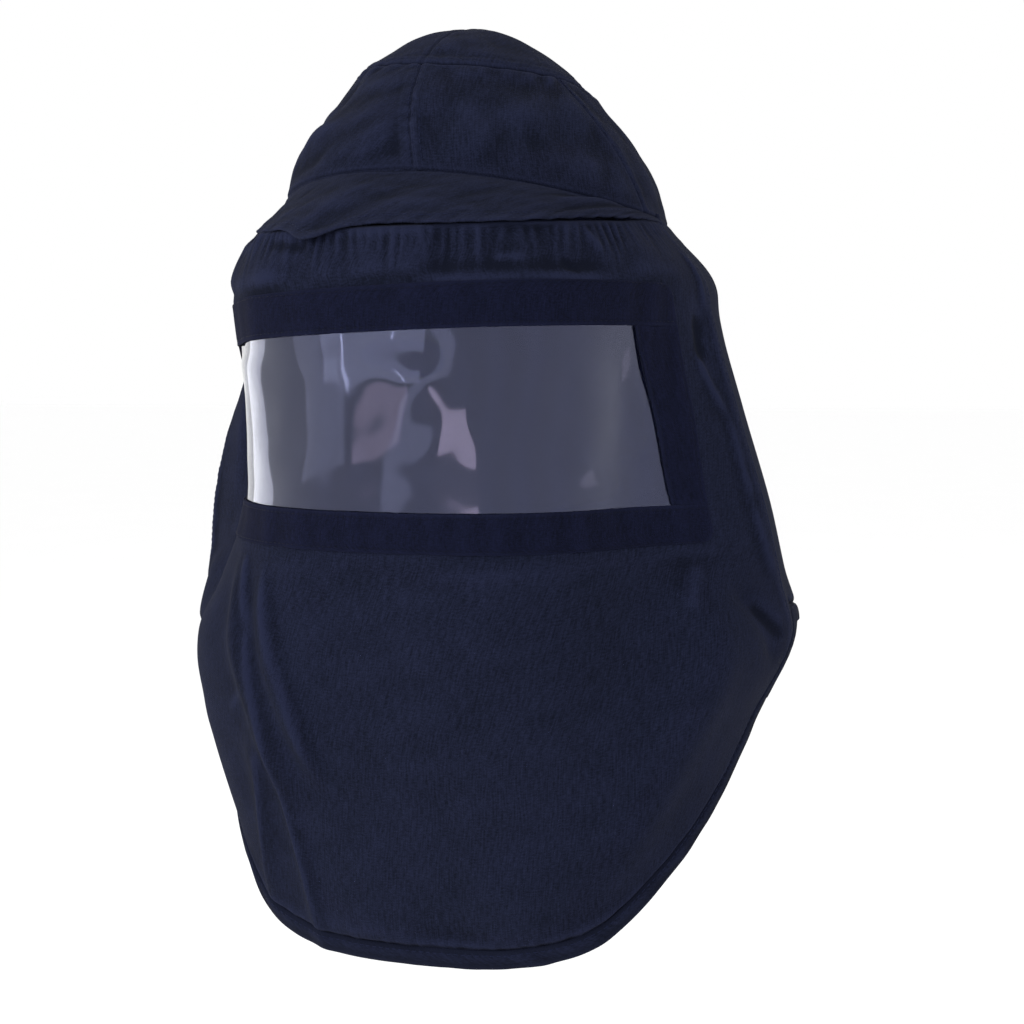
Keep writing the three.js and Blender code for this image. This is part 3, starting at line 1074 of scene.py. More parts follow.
@dataclass(frozen=True)
class SeamLook:
    """How a sewn edge shows: a valley at the seam, a raised allowance beside it and puckers along the stitches."""

    valley: float = 1.4
    valley_width: float = 1.2
    band: float = 0.45
    band_width: float = 7.0
    dip: float = 0.3
    dip_width: float = 0.9
    pucker: float = 0.22
    pucker_pitch: float = 8.0
    pucker_reach: float = 7.0

    def valley_at(self, away: Array) -> Array:
        """The valley alone, for an edge with no stitches on it."""
        return -self.valley * bell(away / self.valley_width)

    def stitched_at(self, away: Array, run: Array, lines: tuple[float, ...], seed: int) -> Array:
        """A seam whose allowance is stitched down on this side.

        Args:
            away: length along the cloth from the seam.
            run: length along the seam.
            lines: how far from the seam the stitch lines are.
            seed: picks the puckers.

        Returns:
            The height at each place.
        """
        band = self.band * (1 - smooth(away, self.band_width - 1, self.band_width + 1.5))
        dips = sum(self.dip * bell((away - line) / self.dip_width) for line in lines)
        pucker = self.pucker * waves(run, 0 * run, self.pucker_pitch, seed) * np.exp(-away / self.pucker_reach)
        return self.valley_at(away) + band - dips + pucker


def declare(piece: bpy.types.Object, patch: Patch, slot: Slot, held: Held, rests_on: str, **more: object) -> None:
    """Logs the flat size and area that a sheet was cut to.

    Args:
        piece: the sheet's object, which has its node's name.
        patch: the sheet's grid.
        slot: not used.
        held: not used.
        rests_on: not used.
        more: not used.
    """
    flat, area = patch.cut()
    LOG.info("%s: cut %.0f x %.0f mm, %.4f m2", piece.name, flat[0] / MM, flat[1] / MM, area)


def replace_node(patch: Patch, node: str, material: bpy.types.Material) -> bpy.types.Object:
    """Builds a patch in the place of a part's node."""
    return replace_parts(patch.build(material), node)


@dataclass
class Crown:
    """The sewn crown: an oval top and a side wall of three panels."""

    form: HoodForm
    finishes: Finishes
    look: SeamLook = SeamLook()
    spacing: float = 2.4
    top_line: float = 3.4
    # The faint seam across the top: its groove, and the ridges of its allowance beside it
    groove: float = 0.5
    groove_width: float = 0.9
    ridge: float = 0.25
    ridge_at: float = 3.4
    ridge_width: float = 1.6
    top_sag: float = 3.5
    top_sag_reach: float = 45
    top_ripples: tuple[Ripple, ...] = (Ripple(0.5, 46, 5), Ripple(0.12, 15, 6))
    # The panels lap a little at their seams, so that no light shows through
    seam_lap: float = 0.3
    seam_lines: tuple[float, ...] = (1.8, 6.2)
    ruffle: Ripple = Ripple(0.45, 13, 20, 0.15)
    ruffle_at: float = 6
    ruffle_width: float = 5
    wall_ripples: tuple[Ripple, ...] = (Ripple(0.85, 44, 0), Ripple(0.14, 17, 40))
    stitches: Stitching = field(default_factory=lambda: Stitching("crown_stitches"))

    def build(self) -> None:
        """Makes the crown's pieces and stitches."""
        form = self.form
        self.top()
        side = form.crown_side_top, form.crown_side_rim
        front = form.front_seam_top, form.front_seam_rim
        self.wall("crown_front_right", (-side[0], -side[1]), front, Edge.RIGHT, 11)
        self.wall("crown_front_left", front, side, Edge.LEFT, 12)
        self.wall("crown_back", side, (360 - side[0], 360 - side[1]), None, 13)
        self.stitches.sew(self.finishes.thread, Slot.CLOTH)

    def top(self) -> None:
        """The oval top, with a faint seam from front to back."""
        form, look = self.form, self.look
        near = np.concatenate([np.arange(-2.4, 2.5, 0.4) + form.front_seam_top + side for side in (0, -180)])
        angles = np.arange(-180, 180, 1.5)
        away = np.abs((angles[:, None] - near[None, :] + 180) % 360 - 180).min(axis=1)
        angles = np.sort(np.concatenate([angles[away > 0.5], near]))
        reach = form.reach(form.top_outline, angles)
        s = crowded(90, self.spacing, fine=0.9, near=12)[:, None] * (1 - form.gap / 2 / reach)
        # The first row is a small ring round the middle, which one face closes
        s = np.maximum(s, 0.012)
        s = s[np.concatenate([[True], np.diff(s[:, 0]) > 0])]
        patch = Patch("crown_top", form.crown(np.broadcast_to(angles, s.shape), s), form.cloth, is_round=True)
        run, away = patch.run(1), patch.to_edge(Edge.BOTTOM)
        x, y = patch.points[..., 0], patch.points[..., 1]
        across = np.abs(x + y * math.tan(math.radians(form.front_seam_top)))
        calm = smooth(away, 2, 14)
        height = look.stitched_at(away, run, (self.top_line,), 3)
        height -= self.groove * bell(across / self.groove_width)
        height += self.ridge * bell((across - self.ridge_at) / self.ridge_width)
        height += calm * sum(ripple.at(x, y) for ripple in self.top_ripples)
        height -= self.top_sag * bell(np.hypot(x, y) / self.top_sag_reach)
        patch.lift(height)
        piece = replace_node(patch, "crown_top", self.finishes.cloth)
        declare(piece, patch, Slot.CLOTH, Held.STRETCHED, "head_seat")
        self.stitches.add(patch.line(Edge.BOTTOM, self.top_line))

    def wall(
        self, name: str, start: tuple[float, float], end: tuple[float, float], front: Edge | None, seed: int
    ) -> None:
        """One panel of the side wall.

        Args:
            name: the piece.
            start: angle of its first seam at the top and at the rim.
            end: angle of its last seam at the top and at the rim.
            front: its edge on the front seam, or None for the back panel.
            seed: picks its undulation.
        """
        form, look = self.form, self.look
        lap = math.degrees(self.seam_lap / form.top_outline.half)
        across = crowded(math.radians(end[1] - start[1]) * 125, self.spacing)
        first = 1 + form.gap / 2 / (form.rim_seam.side - form.top_seam.side)
        s = mix(first, 2.0, crowded(95, self.spacing))[:, None] + 0 * across
        left, right = mix(start[0], start[1], s - 1) - lap, mix(end[0], end[1], s - 1) + lap
        patch = Patch(name, form.crown(mix(left, right, across), s), form.cloth)
        x, y = patch.run(1), patch.run(0)
        away = {edge: patch.to_edge(edge) for edge in Edge}
        calm = smooth(np.minimum.reduce(list(away.values())), 1, 12)
        height = look.valley_at(away[Edge.TOP]) + look.valley_at(away[Edge.BOTTOM])
        height += bell((away[Edge.TOP] - self.ruffle_at) / self.ruffle_width) * self.ruffle.at(x, y, seed)
        height += calm * sum(ripple.at(x, y, seed) for ripple in self.wall_ripples)
        for edge in (Edge.LEFT, Edge.RIGHT):
            if edge is front:
                lines = self.seam_lines if edge is Edge.LEFT else self.seam_lines[:1]
            else:
                lines = self.seam_lines[:1] if front is None else ()
            height += look.stitched_at(away[edge], y, lines, seed + 60) if lines else look.valley_at(away[edge])
            for line in lines:
                self.stitches.add(patch.line(edge, line))
        patch.lift(height)
        piece = replace_node(patch, name, self.finishes.cloth)
        declare(piece, patch, Slot.CLOTH, Held.STRETCHED, "head_seat")


@dataclass
class Peak:
    """The crescent of cloth that juts out over the brow. Its lower edge laps over the front panel."""

    form: HoodForm
    finishes: Finishes
    look: SeamLook = SeamLook(pucker=0.3)
    spacing: float = 2.2
    lap: float = 2.2
    lap_fades: tuple[float, float] = (24, 50)
    # The edge droops over the brow at one place, and is drawn up beside it
    droop: float = 9.0
    droop_at: float = -12
    droop_turn: float = 5
    rise: float = 1.5
    rise_at: float = 2
    rise_turn: float = 8
    # Beside the brow the band sags in
    sag: float = 4.0
    sag_at: float = -43
    sag_turn: float = 18
    stitch_line: float = 5.2
    hem_band: float = 0.6
    pucker: Ripple = Ripple(0.25, 11, 31, 0.1)
    pucker_reach: float = 9
    ripples: tuple[Ripple, ...] = (Ripple(0.7, 50, 32), Ripple(0.15, 15, 33))

    def build(self) -> None:
        """Makes the band and its stitches."""
        form = self.form
        end = form.side_seam - form.seam_turn
        angles = np.linspace(-end, end, 230)
        ones = np.ones_like(angles)
        length = np.linalg.norm(form.peak(angles, ones) - form.peak(angles, 0 * ones), axis=-1)
        t = crowded(60, self.spacing, near=9)[:, None]
        lap = self.lap * (1 - smooth(np.abs(angles), *self.lap_fades))
        lap += self.droop * bell((angles - self.droop_at) / self.droop_turn)
        lap -= self.rise * bell((angles - self.rise_at) / self.rise_turn)
        s = mix(-form.tuck / length, 1 + lap / length, t)
        patch = Patch("peak_band", form.peak(np.broadcast_to(angles, s.shape), s), form.cloth, roll=0.5)
        x, y = patch.run(1), patch.run(0)
        lower, upper = patch.to_edge(Edge.BOTTOM), patch.to_edge(Edge.TOP)
        calm = smooth(np.minimum(lower, upper), 1, 10)
        look = self.look
        height = look.valley_at(upper - form.tuck) + self.hem_band * (1 - smooth(lower, 5.5, 8))
        height -= look.dip * bell((lower - self.stitch_line) / look.dip_width)
        height += self.pucker.at(x, y) * np.exp(-lower / self.pucker_reach)
        height += calm * sum(ripple.at(x, y) for ripple in self.ripples)
        height -= self.sag * bell((angles - self.sag_at) / self.sag_turn) * np.sin(math.pi / 1.2 * t)
        patch.lift(height * smooth(length, 4, 14))
        piece = replace_node(patch, "peak_band", self.finishes.cloth)
        declare(piece, patch, Slot.CLOTH, Held.STRETCHED, "head_seat")
        stitches = Stitching("peak_stitches")
        line, normals = patch.line(Edge.BOTTOM, self.stitch_line)
        wide = length > 2.5 * self.stitch_line
        stitches.add((line[wide], normals[wide]))
        stitches.sew(self.finishes.thread, Slot.CLOTH)


@dataclass
class Drape:
    """The front panel, the cape behind it and their hems."""

    form: HoodForm
    finishes: Finishes
    look: SeamLook = SeamLook(pucker=0.12, pucker_pitch=14)
    columns: int = 300
    brow_rows: int = 26
    lintel_rows: int = 6
    window_rows: int = 30
    bib_length: float = 250
    side_line: float = 2.6
    # The front panel's sides lie over the cape's by this angle
    side_lap: float = 0.45
    groove: float = 2.6
    groove_width: float = 2.6
    panel_ripples: tuple[Ripple, ...] = (Ripple(1.2, 85, 61, 0.6), Ripple(0.12, 26, 62, 0.6))
    brow_ripple: Ripple = Ripple(0.7, 30, 63, 0.5)
    hem_pucker: Ripple = Ripple(0.3, 14, 65, 0.0)
    hem_pucker_reach: float = 9
    cape_ripples: tuple[Ripple, ...] = (Ripple(1.6, 95, 71, 0.3), Ripple(0.4, 28, 72, 0.4))
    cape_ruffle: Ripple = Ripple(0.8, 17, 73, 0.1)
    cape_ruffle_at: float = 9
    hem_ripple: Ripple = Ripple(0.12, 24, 81, 0.0)
    # The turned edge is painted darker than the cloth above it, as painted shade
    hem_painted_shade: float = -0.7
    # The brow stands out a little more at one side
    puff: float = 2.5
    puff_at: float = -42
    puff_turn: float = 14
    seed: int = 51
    gathers: tuple[GatherZone, ...] = (
        GatherZone(-80, -24, 2.8, 1.5, 18),
        GatherZone(-24, 22, 2.1, 2.6, 17),
        GatherZone(22, 34, 2.8, 1.4, 14),
        GatherZone(34, 60, 2.3, 2.4, 18),
        GatherZone(60, 78, 2.6, 1.5, 15),
    )
    creases: tuple[Fold, ...] = (
        Fold(-34, 320, -29, 370, 2.6, 1.5),
        Fold(-29, 350, -28, 470, 2.6, 1.5),
        Fold(-26, 326, -21, 400, 2.6, 1.4),
        Fold(-21.5, 380, -18, 455, 2.8, 1.2),
        Fold(-30, 430, -49, 550, 3.2, 1.2),
        Fold(-28, 440, -29, 566, 3.2, 1.1),
        Fold(-31, 405, -41, 428, 2.6, 1.0),
        Fold(43, 140, 46, 155, 2.6, 1.6),
        Fold(36, 158, 41, 170, 2.6, -1.4),
        Fold(22, 159, 30, 158, 2.4, 1.3),
        Fold(20, 171, 29, 170, 2.2, -1.5),
        Fold(-24, 149, -12, 153, 2.6, -1.3),
        Fold(74, 355, 81, 384, 4.0, -1.8),
        Fold(66, 325, 58, 360, 4.0, 1.2),
        Fold(80, 142, 81, 188, 3.0, 1.6),
        Fold(77, 182, 77, 216, 6.0, -2.5),
        Fold(74, 205, 81, 248, 3.2, 1.8),
        Fold(81, 238, 81, 305, 3.0, 1.5),
        Fold(81, 292, 82, 348, 3.0, 1.5),
    )

    def build(self) -> None:
        """Makes the panel, the cape, their hems and stitches."""
        stitches = Stitching("hem_stitches")
        panel, patch, foot = self.front_panel()
        panel_hem = self.hem("hem_front", foot, stitches)
        declare(panel, patch, Slot.CLOTH, Held.GATHERED, "peak_band", with_pieces=[panel_hem])
        cape, cape_patch, cape_foot = self.cape()
        cape_hem = self.hem("hem_back", cape_foot, stitches)
        declare(cape, cape_patch, Slot.CLOTH, Held.HUNG, "crown_back", with_pieces=[cape_hem])
        stitches.add(patch.line(Edge.RIGHT, self.side_line))
        stitches.add(patch.line(Edge.LEFT, self.side_line))
        stitches.sew(self.finishes.thread, Slot.CLOTH)

    def crease_rise(self, angle: Array, down: Array) -> Array:
        """How far the small creases lift the cloth.

        Args:
            angle: turn round the hood.
            down: drop below the crown's top.

        Returns:
            The lift at each place.
        """
        reach = self.form.fold_reach
        x, y = np.radians(angle) * reach, down
        total = np.zeros(x.shape)
        for crease in self.creases:
            start = math.radians(crease.from_angle) * reach, crease.from_down
            run = math.radians(crease.to_angle) * reach - start[0], crease.to_down - start[1]
            t = ((x - start[0]) * run[0] + (y - start[1]) * run[1]) / (run[0] ** 2 + run[1] ** 2)
            aside = np.hypot(x - start[0] - t * run[0], y - start[1] - t * run[1])
            fade = smooth(t, 0, 0.3) * (1 - smooth(t, 0.7, 1))
            total += crease.rise * fade * bell(aside / crease.width)
        return total

    def gather_rise(self, angle: Array, below: Array) -> Array:
        """How far the gathers under the peak lift the cloth, one by one.

        Args:
            angle: turn round the hood.
            below: length along the cloth from its top edge.

        Returns:
            The lift at each place.
        """
        rng = np.random.default_rng(self.seed)
        total = np.zeros(angle.shape)
        for zone in self.gathers:
            at = zone.from_angle
            while at < zone.to_angle:
                rise, length = zone.rise * rng.uniform(0.5, 1.3), zone.length * rng.uniform(0.6, 1.6)
                lean = rng.uniform(-0.05, 0.05)
                across = (angle - at - lean * below) / (zone.pitch * rng.uniform(0.24, 0.36))
                fade = smooth(below, 0.5, 5) * np.exp(-((below / length) ** 2))
                total += rise * fade * (bell(across) - 0.5 * bell(across / 2))
                at += zone.pitch * rng.uniform(0.7, 1.35)
        return total

    def panel_grid(self) -> tuple[Array, Array, Array]:
        """The front panel's grid, whose rows and columns follow the window's edges and its tapes.

        Returns:
            The angle and drop of each point, and which quads are cloth.
        """
        form = self.form
        edge = form.side_seam + self.side_lap
        brow_rows = self.brow_rows - self.lintel_rows
        drop = crowded(self.bib_length, 2.7, fine=0.9, near=8)[1:, None]
        level = np.concatenate(
            [
                np.full(brow_rows, form.tape_top),
                np.linspace(form.tape_top, form.window_top, self.lintel_rows + 1)[1:],
                np.linspace(form.window_top, form.window_bottom, self.window_rows + 1)[1:],
                np.full(len(drop) + self.lintel_rows, form.window_bottom),
            ]
        )
        turn = form.window_turn(level)[:, None]
        strip = form.tape_turn(level)[:, None]
        knots = np.concatenate([0 * turn - edge, -strip, -turn, turn, strip, 0 * turn + edge], axis=1)
        counts = (28, 18, self.columns - 92, 18, 28)
        angle = np.concatenate(
            [
                knots[:, [i]] + (knots[:, [i + 1]] - knots[:, [i]]) * (np.arange(n) / n)[None]
                for i, n in enumerate(counts)
            ]
            + [knots[:, [5]]],
            axis=1,
        )
        down = form.tilted(level[:, None], angle)
        brow = np.linspace(0, 1, brow_rows)[:, None] ** 1.15
        tucked = form.cloth * smooth(np.abs(angle[:brow_rows]), 55, 75)
        down[:brow_rows] = mix(form.peak_edge_down(angle[:brow_rows]) - tucked, down[:brow_rows], brow)
        sill = self.brow_rows + self.window_rows
        bib = sill + self.lintel_rows
        down[sill:bib] = np.linspace(form.window_bottom, form.tape_bottom, self.lintel_rows + 1)[1:, None]
        down[bib:] = mix(form.tape_bottom, form.hem_top(angle[bib:]) + form.tuck, drop)
        kept = np.ones((angle.shape[0] - 1, angle.shape[1] - 1), bool)
        kept[self.brow_rows - 1 : sill - 1, sum(counts[:2]) : sum(counts[:3])] = False
        return angle, down, kept

    def panel_relief(self, patch: Patch, angle: Array, down: Array) -> Array:
        """The front panel's gathers, creases, ripples and sewn edges. It lies flat under the tapes.

        Args:
            patch: its grid.
            angle: each point's turn round the hood.
            down: each point's drop.

        Returns:
            How far each point stands out.
        """
        form, look = self.form, self.look
        x, y = np.radians(angle) * form.fold_reach, down
        away = {side: patch.to_edge(side) for side in Edge}
        above_tape = form.tilted(np.array(form.tape_top), angle) - down
        tape = (1 - smooth(above_tape, 1, 9)) * (1 - smooth(down, form.tape_bottom + 1, form.tape_bottom + 12))
        tape *= 1 - smooth(np.abs(angle) - form.tape_turn(down), 0.5, 5)
        calm = smooth(np.minimum.reduce([away[Edge.LEFT], away[Edge.RIGHT], away[Edge.BOTTOM]]), 0, 14)
        calm *= 1 - 0.7 * smooth(angle, 60, 78)
        brow = (1 - smooth(down, 165, 200)) * (1 - smooth(angle, 55, 75))
        height = self.gather_rise(angle, away[Edge.TOP]) + self.crease_rise(angle, down)
        height += calm * sum(ripple.at(x, y) for ripple in self.panel_ripples) + brow * self.brow_ripple.at(x, y)
        puff = self.puff * bell((angle - self.puff_at) / self.puff_turn)
        height += puff * bell(away[Edge.TOP] / 22) * smooth(away[Edge.TOP], 2, 12)
        height = height * (1 - tape) * smooth(away[Edge.TOP], 0, 3)
        height += look.valley_at(away[Edge.TOP])
        for side in (Edge.LEFT, Edge.RIGHT):
            height += look.stitched_at(away[side], y, (self.side_line,), 64)
        height += self.hem_pucker.at(x, y) * np.exp(-away[Edge.BOTTOM] / self.hem_pucker_reach)
        return height - self.foot_groove(away[Edge.BOTTOM])

    def foot_groove(self, above: Array) -> Array:
        """Depth of the groove where the hem is turned up, which goes on inside the hem."""
        return self.groove * bell(np.maximum(above - self.form.tuck, 0) / self.groove_width)

    def front_panel(self) -> tuple[bpy.types.Object, Patch, Array]:
        """The front panel, one cloth with the window cut in it.

        Returns:
            The piece, its grid and the angles along its lower edge.
        """
        angle, down, kept = self.panel_grid()
        patch = Patch("front_panel", self.form.drape(angle, down), self.form.thin_cloth, kept=kept)
        patch.lift(self.panel_relief(patch, angle, down))
        return replace_node(patch, "front_panel", self.finishes.cloth), patch, angle[-1]

    def cape(self) -> tuple[bpy.types.Object, Patch, Array]:
        """The cape behind the side seams.

        Returns:
            The piece, its grid and the angles along its lower edge.
        """
        form, look = self.form, self.look
        first = form.side_seam + form.seam_turn
        across = crowded(640, 3.2, fine=1.2)
        t = crowded(310, 3.2, fine=1.2)[:, None]
        angle = np.broadcast_to(mix(first, 360 - first, across), (len(t), len(across)))
        down = mix(form.rim_down(angle) - form.tuck, form.hem_top(angle) + form.tuck, t)
        patch = Patch("back_cape", form.drape(angle, down), form.cloth)
        x, y = np.radians(angle) * form.fold_reach, down
        away = {side: patch.to_edge(side) for side in Edge}
        calm = smooth(np.minimum.reduce(list(away.values())), 0, 16)
        ruffled = bell((away[Edge.TOP] - self.cape_ruffle_at) / self.cape_ruffle_at)
        height = calm * sum(ripple.at(x, y) for ripple in self.cape_ripples) + ruffled * self.cape_ruffle.at(x, y)
        # The cape hangs calm at its sides and waves behind
        height *= mix(0.1, 1.0, smooth(np.abs(turned(angle)), 100, 135))
        height += look.valley_at(away[Edge.LEFT]) + look.valley_at(away[Edge.RIGHT])
        height -= form.cloth * (1 - smooth(away[Edge.TOP], 0.5 * form.tuck, 2 * form.tuck))
        patch.lift(height - self.foot_groove(away[Edge.BOTTOM]))
        return replace_node(patch, "back_cape", self.finishes.cloth), patch, angle[-1]

    def hem(self, name: str, angles: Array, stitches: Stitching) -> bpy.types.Object:
        """A hem, turned up twice and stitched along its upper edge.

        Args:
            name: the piece.
            angles: its columns.
            stitches: takes the stitch line.

        Returns:
            The new object.
        """
        form = self.form
        t = np.array([0, 0.12, 0.25, 0.4, 0.55, 0.7, 0.85, 1.0])[:, None]
        angle = np.broadcast_to(angles, (len(t), len(angles)))
        down = mix(form.hem_top(angle), form.hem_edge(angle), t)
        patch = Patch(name, form.drape(angle, down), form.hem, roll=1.2)
        run = patch.run(1)
        stitched = 0.25
        height = (form.hem - form.cloth) / 2 + self.hem_ripple.at(run, run)
        height -= self.look.dip * bell((t - stitched) / 0.16) + self.groove * bell(t / 0.14)
        patch.lift(height)
        # Painted shade: the hem's colour is darkened all over
        patch.relief = patch.relief + self.hem_painted_shade
        piece = replace_node(patch, name, self.finishes.cloth)
        stitches.add(patch.line(Edge.TOP, stitched * form.hem_width))
        return piece


@dataclass
class Window:
    """The window: four flat tapes sewn round it and the clear film behind."""

    form: HoodForm
    finishes: Finishes
    spacing: float = 1.8
    stitch_line: float = 2.4
    corner: float = 9.0
    dip: float = 0.22
    dip_width: float = 0.9
    tape_ripples: tuple[Ripple, ...] = (Ripple(0.2, 18, 0, 0.12), Ripple(0.12, 40, 10))
    tape_sunk: float = 0.1
    film_slack: float = 0.5
    film_ripples: tuple[Ripple, ...] = (Ripple(0.5, 70, 101, 0.5), Ripple(0.12, 26, 102, 0.6))
    stitches: Stitching = field(
        default_factory=lambda: Stitching("window_stitches", pitch=3.8, length=2.8, thick=0.4)
    )

    def build(self) -> None:
        """Makes the tapes, their stitches and the film."""
        form = self.form
        self.tape("window_tape_top", form.tape_top, form.window_top, None, 91)
        self.tape("window_tape_bottom", form.window_bottom, form.tape_bottom, None, 92)
        sides = form.window_top + form.gap, form.window_bottom - form.gap
        self.tape("window_tape_left", *sides, 1, 93)
        self.tape("window_tape_right", *sides, -1, 94)
        self.stitches.sew(self.finishes.tape_thread, Slot.TAPE)
        self.film()

    def tape(self, name: str, top: float, bottom: float, side: int | None, seed: int) -> None:
        """One tape, lying on the front panel.

        Args:
            name: the piece.
            top: drop of its upper edge.
            bottom: drop of its lower edge.
            side: 1 or -1 for the tape on that side, None for one right across.
            seed: picks its ripples.
        """
        form = self.form
        down = mix(top, bottom, crowded(bottom - top, self.spacing, fine=0.9, near=5))[:, None]
        outer = form.tape_turn(down)
        if side is None:
            corner = math.degrees(self.corner / form.fold_reach)
            near = np.clip(1 - np.minimum(down - form.tape_top, form.tape_bottom - down) / self.corner, 0, 1)
            outer = outer - corner * (1 - np.sqrt(1 - near**2))
            start, end = -outer, outer
        else:
            inner = form.window_turn(down)
            start, end = (inner, outer) if side == 1 else (-outer, -inner)
        width = math.radians(float((end - start).max())) * form.fold_reach
        angle = mix(start, end, crowded(width, self.spacing, fine=0.9, near=5)[None])
        x, y = np.radians(angle) * form.fold_reach, form.tilted(down, angle)
        patch = Patch(name, form.drape(angle, y), form.thin_tape, roll=0.25)
        away = {edge: patch.to_edge(edge) for edge in Edge}
        sewn = (Edge.LEFT, Edge.RIGHT) if side else (Edge.TOP, Edge.BOTTOM)
        height = form.thin_gap + form.thin_tape - self.tape_sunk
        height = height + sum(ripple.at(x, y, seed) for ripple in self.tape_ripples)
        for edge in sewn:
            height -= self.dip * bell((away[edge] - self.stitch_line) / self.dip_width)
        patch.lift(height)
        for edge in sewn:
            self.stitches.add(patch.line(edge, self.stitch_line))
        piece = replace_node(patch, name, self.finishes.tape)
        declare(piece, patch, Slot.TAPE, Held.LAID, "front_panel")

    def film(self) -> None:
        """The clear film, slack enough to wave a little."""
        form = self.form
        top, bottom = form.window_top - form.film_lap_down, form.window_bottom + form.film_lap_down
        down = np.linspace(top, bottom, 48)[:, None]
        end = form.window_turn(down) + form.film_lap_turn
        angle = mix(-end, end, np.linspace(0, 1, 150)[None])
        x, y = np.radians(angle) * form.fold_reach, form.tilted(down, angle)
        patch = Patch("window_film", form.drape(angle, y), form.film, roll=0.1)
        calm = smooth(np.minimum.reduce([patch.to_edge(edge) for edge in Edge]), 9, 36)
        slack = calm * (self.film_slack + sum(ripple.at(x, y) for ripple in self.film_ripples))
        patch.lift(slack - form.thin_cloth - form.thin_gap)
        piece = replace_node(patch, "window_film", self.finishes.film)
        # Clear film takes next to no light from the cloth behind it
        piece.visible_shadow = False
        declare(piece, patch, Slot.FILM, Held.STRETCHED, "front_panel")


@dataclass(frozen=True)
class Softbox:
    """A soft studio light that looks at the hood, or a low card of light that its window mirrors.

    It hangs at an azimuth (0 in front, 90 at +X), a distance and a height, in metres, and leans to one side.
    """

    name: str
    azimuth: float
    distance: float
    height: float
    size: tuple[float, float]
    radiance: float
    lean: float = 0.0
    colour: str = "#FFFFFF"

    def build(self, target: Vector) -> None:
        """Hangs the light."""
        data = bpy.data.lights.new(self.name, "AREA")
        data.shape = "RECTANGLE"
        data.size, data.size_y = self.size
        data.energy = self.radiance * math.pi * self.size[0] * self.size[1]
        data.color = linear(self.colour)[:3]
        light = bpy.data.objects.new(self.name, data)
        side = math.radians(self.azimuth)
        place = Vector((math.sin(side) * self.distance, -math.cos(side) * self.distance, self.height))
        aim = (target - place).to_track_quat("-Z", "Y").to_matrix().to_4x4()
        light.matrix_world = Matrix.Translation(place) @ aim @ Matrix.Rotation(math.radians(self.lean), 4, "Z")
        bpy.context.scene.collection.objects.link(light)


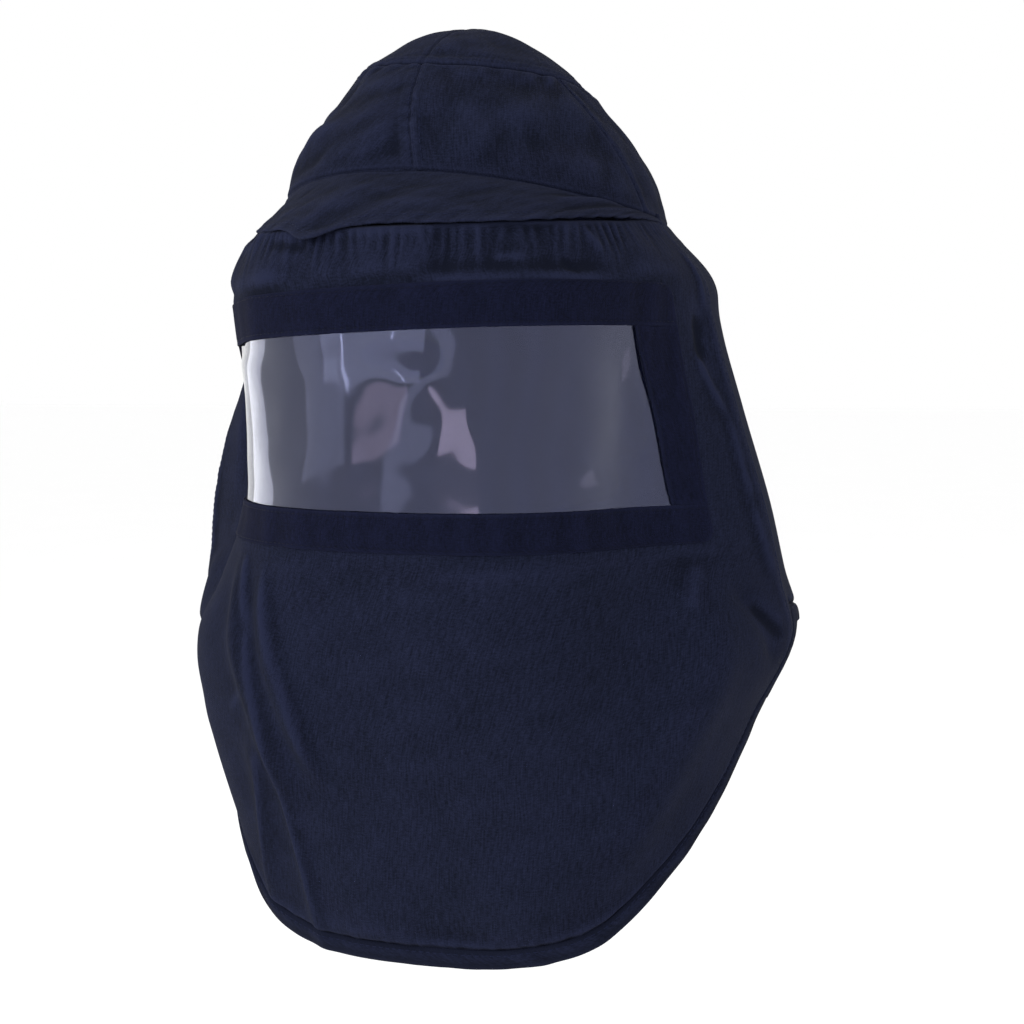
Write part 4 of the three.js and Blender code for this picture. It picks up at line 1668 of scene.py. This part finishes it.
@dataclass(frozen=True)
class Studio:
    """The white studio, and the camera where the photograph's was."""

    azimuth: float = 20.0
    distance: float = 0.884
    height: float = -0.226
    # The hood's axis and the horizon lie this many pixels off the photograph's middle
    turn: float = math.atan(34 / PHOTO_FOCAL)
    dip: float = math.atan(128 / PHOTO_FOCAL)
    lens: float = SENSOR * PHOTO_FOCAL / PHOTO_WIDTH
    floor: float = -0.95
    floor_half: float = 40.0
    floor_tones: tuple[float, float] = (0.985, 1.0)
    aim: float = -0.28
    # Two soft lights, then the cards, patches and streaks that show in the film
    lights: tuple[Softbox, ...] = (
        Softbox("key_softbox", -48, 2.0, 0.4, (0.9, 0.8), 9.0),
        Softbox("fill_softbox", 32, 2.1, 0.9, (0.9, 0.8), 4.2),
        Softbox("side_card", -101, 2.0, -0.4, (1.1, 0.7), 1.5),
        Softbox("upper_card", -22, 2.0, -0.27, (1.4, 0.28), 1.0),
        Softbox("wide_card", -46, 2.0, -0.44, (0.9, 0.28), 0.6),
        Softbox("near_patch", -20.5, 2.0, -0.525, (0.5, 0.13), 1.3, 3, "#FFE2D8"),
        Softbox("far_patch", 14, 2.0, -0.535, (0.7, 0.15), 2.8, 0, "#FFE6DA"),
        Softbox("slanted_card", -4, 2.0, -0.45, (1.35, 0.15), 0.7, 22),
        Softbox("low_card", 92, 2.0, -0.64, (0.8, 0.16), 0.5, 10, "#FFF0EA"),
        Softbox("near_streak", -31, 2.0, -0.3, (0.025, 0.2), 5.0, -12),
        Softbox("far_streak", -16, 2.0, -0.3, (0.025, 0.16), 5.0, 14),
    )

    def build(self) -> None:
        """Makes the camera, lights, backdrop and floor."""
        scene = bpy.context.scene
        scene.view_settings.view_transform = "Standard"
        data = bpy.data.cameras.new("photo_camera")
        data.sensor_width, data.lens = SENSOR, self.lens
        data.clip_start = 0.01
        camera = bpy.data.objects.new("photo_camera", data)
        side = math.radians(self.azimuth)
        level = Matrix.Rotation(side - self.turn, 4, "Z") @ Matrix.Rotation(math.pi / 2 - self.dip, 4, "X")
        place = Vector((math.sin(side) * self.distance, -math.cos(side) * self.distance, self.height))
        camera.matrix_world = Matrix.Translation(place) @ level
        scene.collection.objects.link(camera)
        scene.camera = camera
        for light in self.lights:
            light.build(Vector((0, 0, self.aim)))
        self.backdrop()

    def backdrop(self) -> None:
        """The pale floor and the white room round it."""
        world = bpy.data.worlds.new("white_room")
        bpy.context.scene.world = world
        world.use_nodes = True
        tree = world.node_tree
        tree.nodes.clear()
        shade = add_node(tree, "ShaderNodeBackground", {0: (1.0, 1.0, 1.0, 1.0), 1: 1.0}).outputs[0]
        add_node(tree, "ShaderNodeOutputWorld", {0: shade})
        material, tree = new_material("matt_studio_floor")
        place = add_node(tree, "ShaderNodeTexCoord").outputs["Object"]
        grain = add_node(tree, "ShaderNodeTexNoise", {"Vector": place, "Scale": 3.0}).outputs[0]
        tone = add_node(
            tree,
            "ShaderNodeMapRange",
            {"Value": grain, "To Min": self.floor_tones[0], "To Max": self.floor_tones[1]},
        ).outputs[0]
        surface = add_node(
            tree, "ShaderNodeBsdfPrincipled", {"Base Color": tone, "Roughness": 0.9, "Specular IOR Level": 0.1}
        ).outputs[0]
        add_node(tree, "ShaderNodeOutputMaterial", {0: surface})
        mesh = bpy.data.meshes.new("floor")
        ends = ((-1, -1), (1, -1), (1, 1), (-1, 1))
        points = [(x * self.floor_half, y * self.floor_half, self.floor) for x, y in ends]
        mesh.from_pydata(points, [], [[0, 1, 2, 3]])
        mesh.materials.append(material)
        floor = bpy.data.objects.new("floor", mesh)
        bpy.context.scene.collection.objects.link(floor)


def corners(bounds: tuple[Vector, Vector]) -> list[list[float]]:
    """Two corners as plain lists."""
    return [[float(value) for value in corner] for corner in bounds]


def main() -> None:
    """Builds the hood piece by piece, then the studio."""
    logging.basicConfig(level=logging.INFO, format="%(name)s: %(message)s")
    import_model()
    form = HoodForm()
    finishes = Finishes(
        # Navy work cloth: a real yarn is about 0.5 mm wide, too fine to show, so the weave is drawn coarser
        cloth=WovenCotton("navy_woven_cotton", "#0F121E", "#1D2135", "#292D43", pitch=0.9).material(),
        # The tapes are a closer, darker weave
        tape=WovenCotton("dark_navy_cotton_tape", "#0B0D19", "#15182D", "#1D2138", pitch=0.8).material(),
        film=ClearFilm("clear_cast_polyester_film", "#E3E6F4", "#CBD1FF").material(),
        thread=SpunThread("navy_spun_thread", "#161B32").material(),
        tape_thread=SpunThread("dark_navy_spun_thread", "#0B0E1E").material(),
    )
    Crown(form, finishes).build()
    Peak(form, finishes).build()
    Drape(form, finishes).build()
    Window(form, finishes).build()
    Studio().build()


if __name__ == "__main__":
    main()
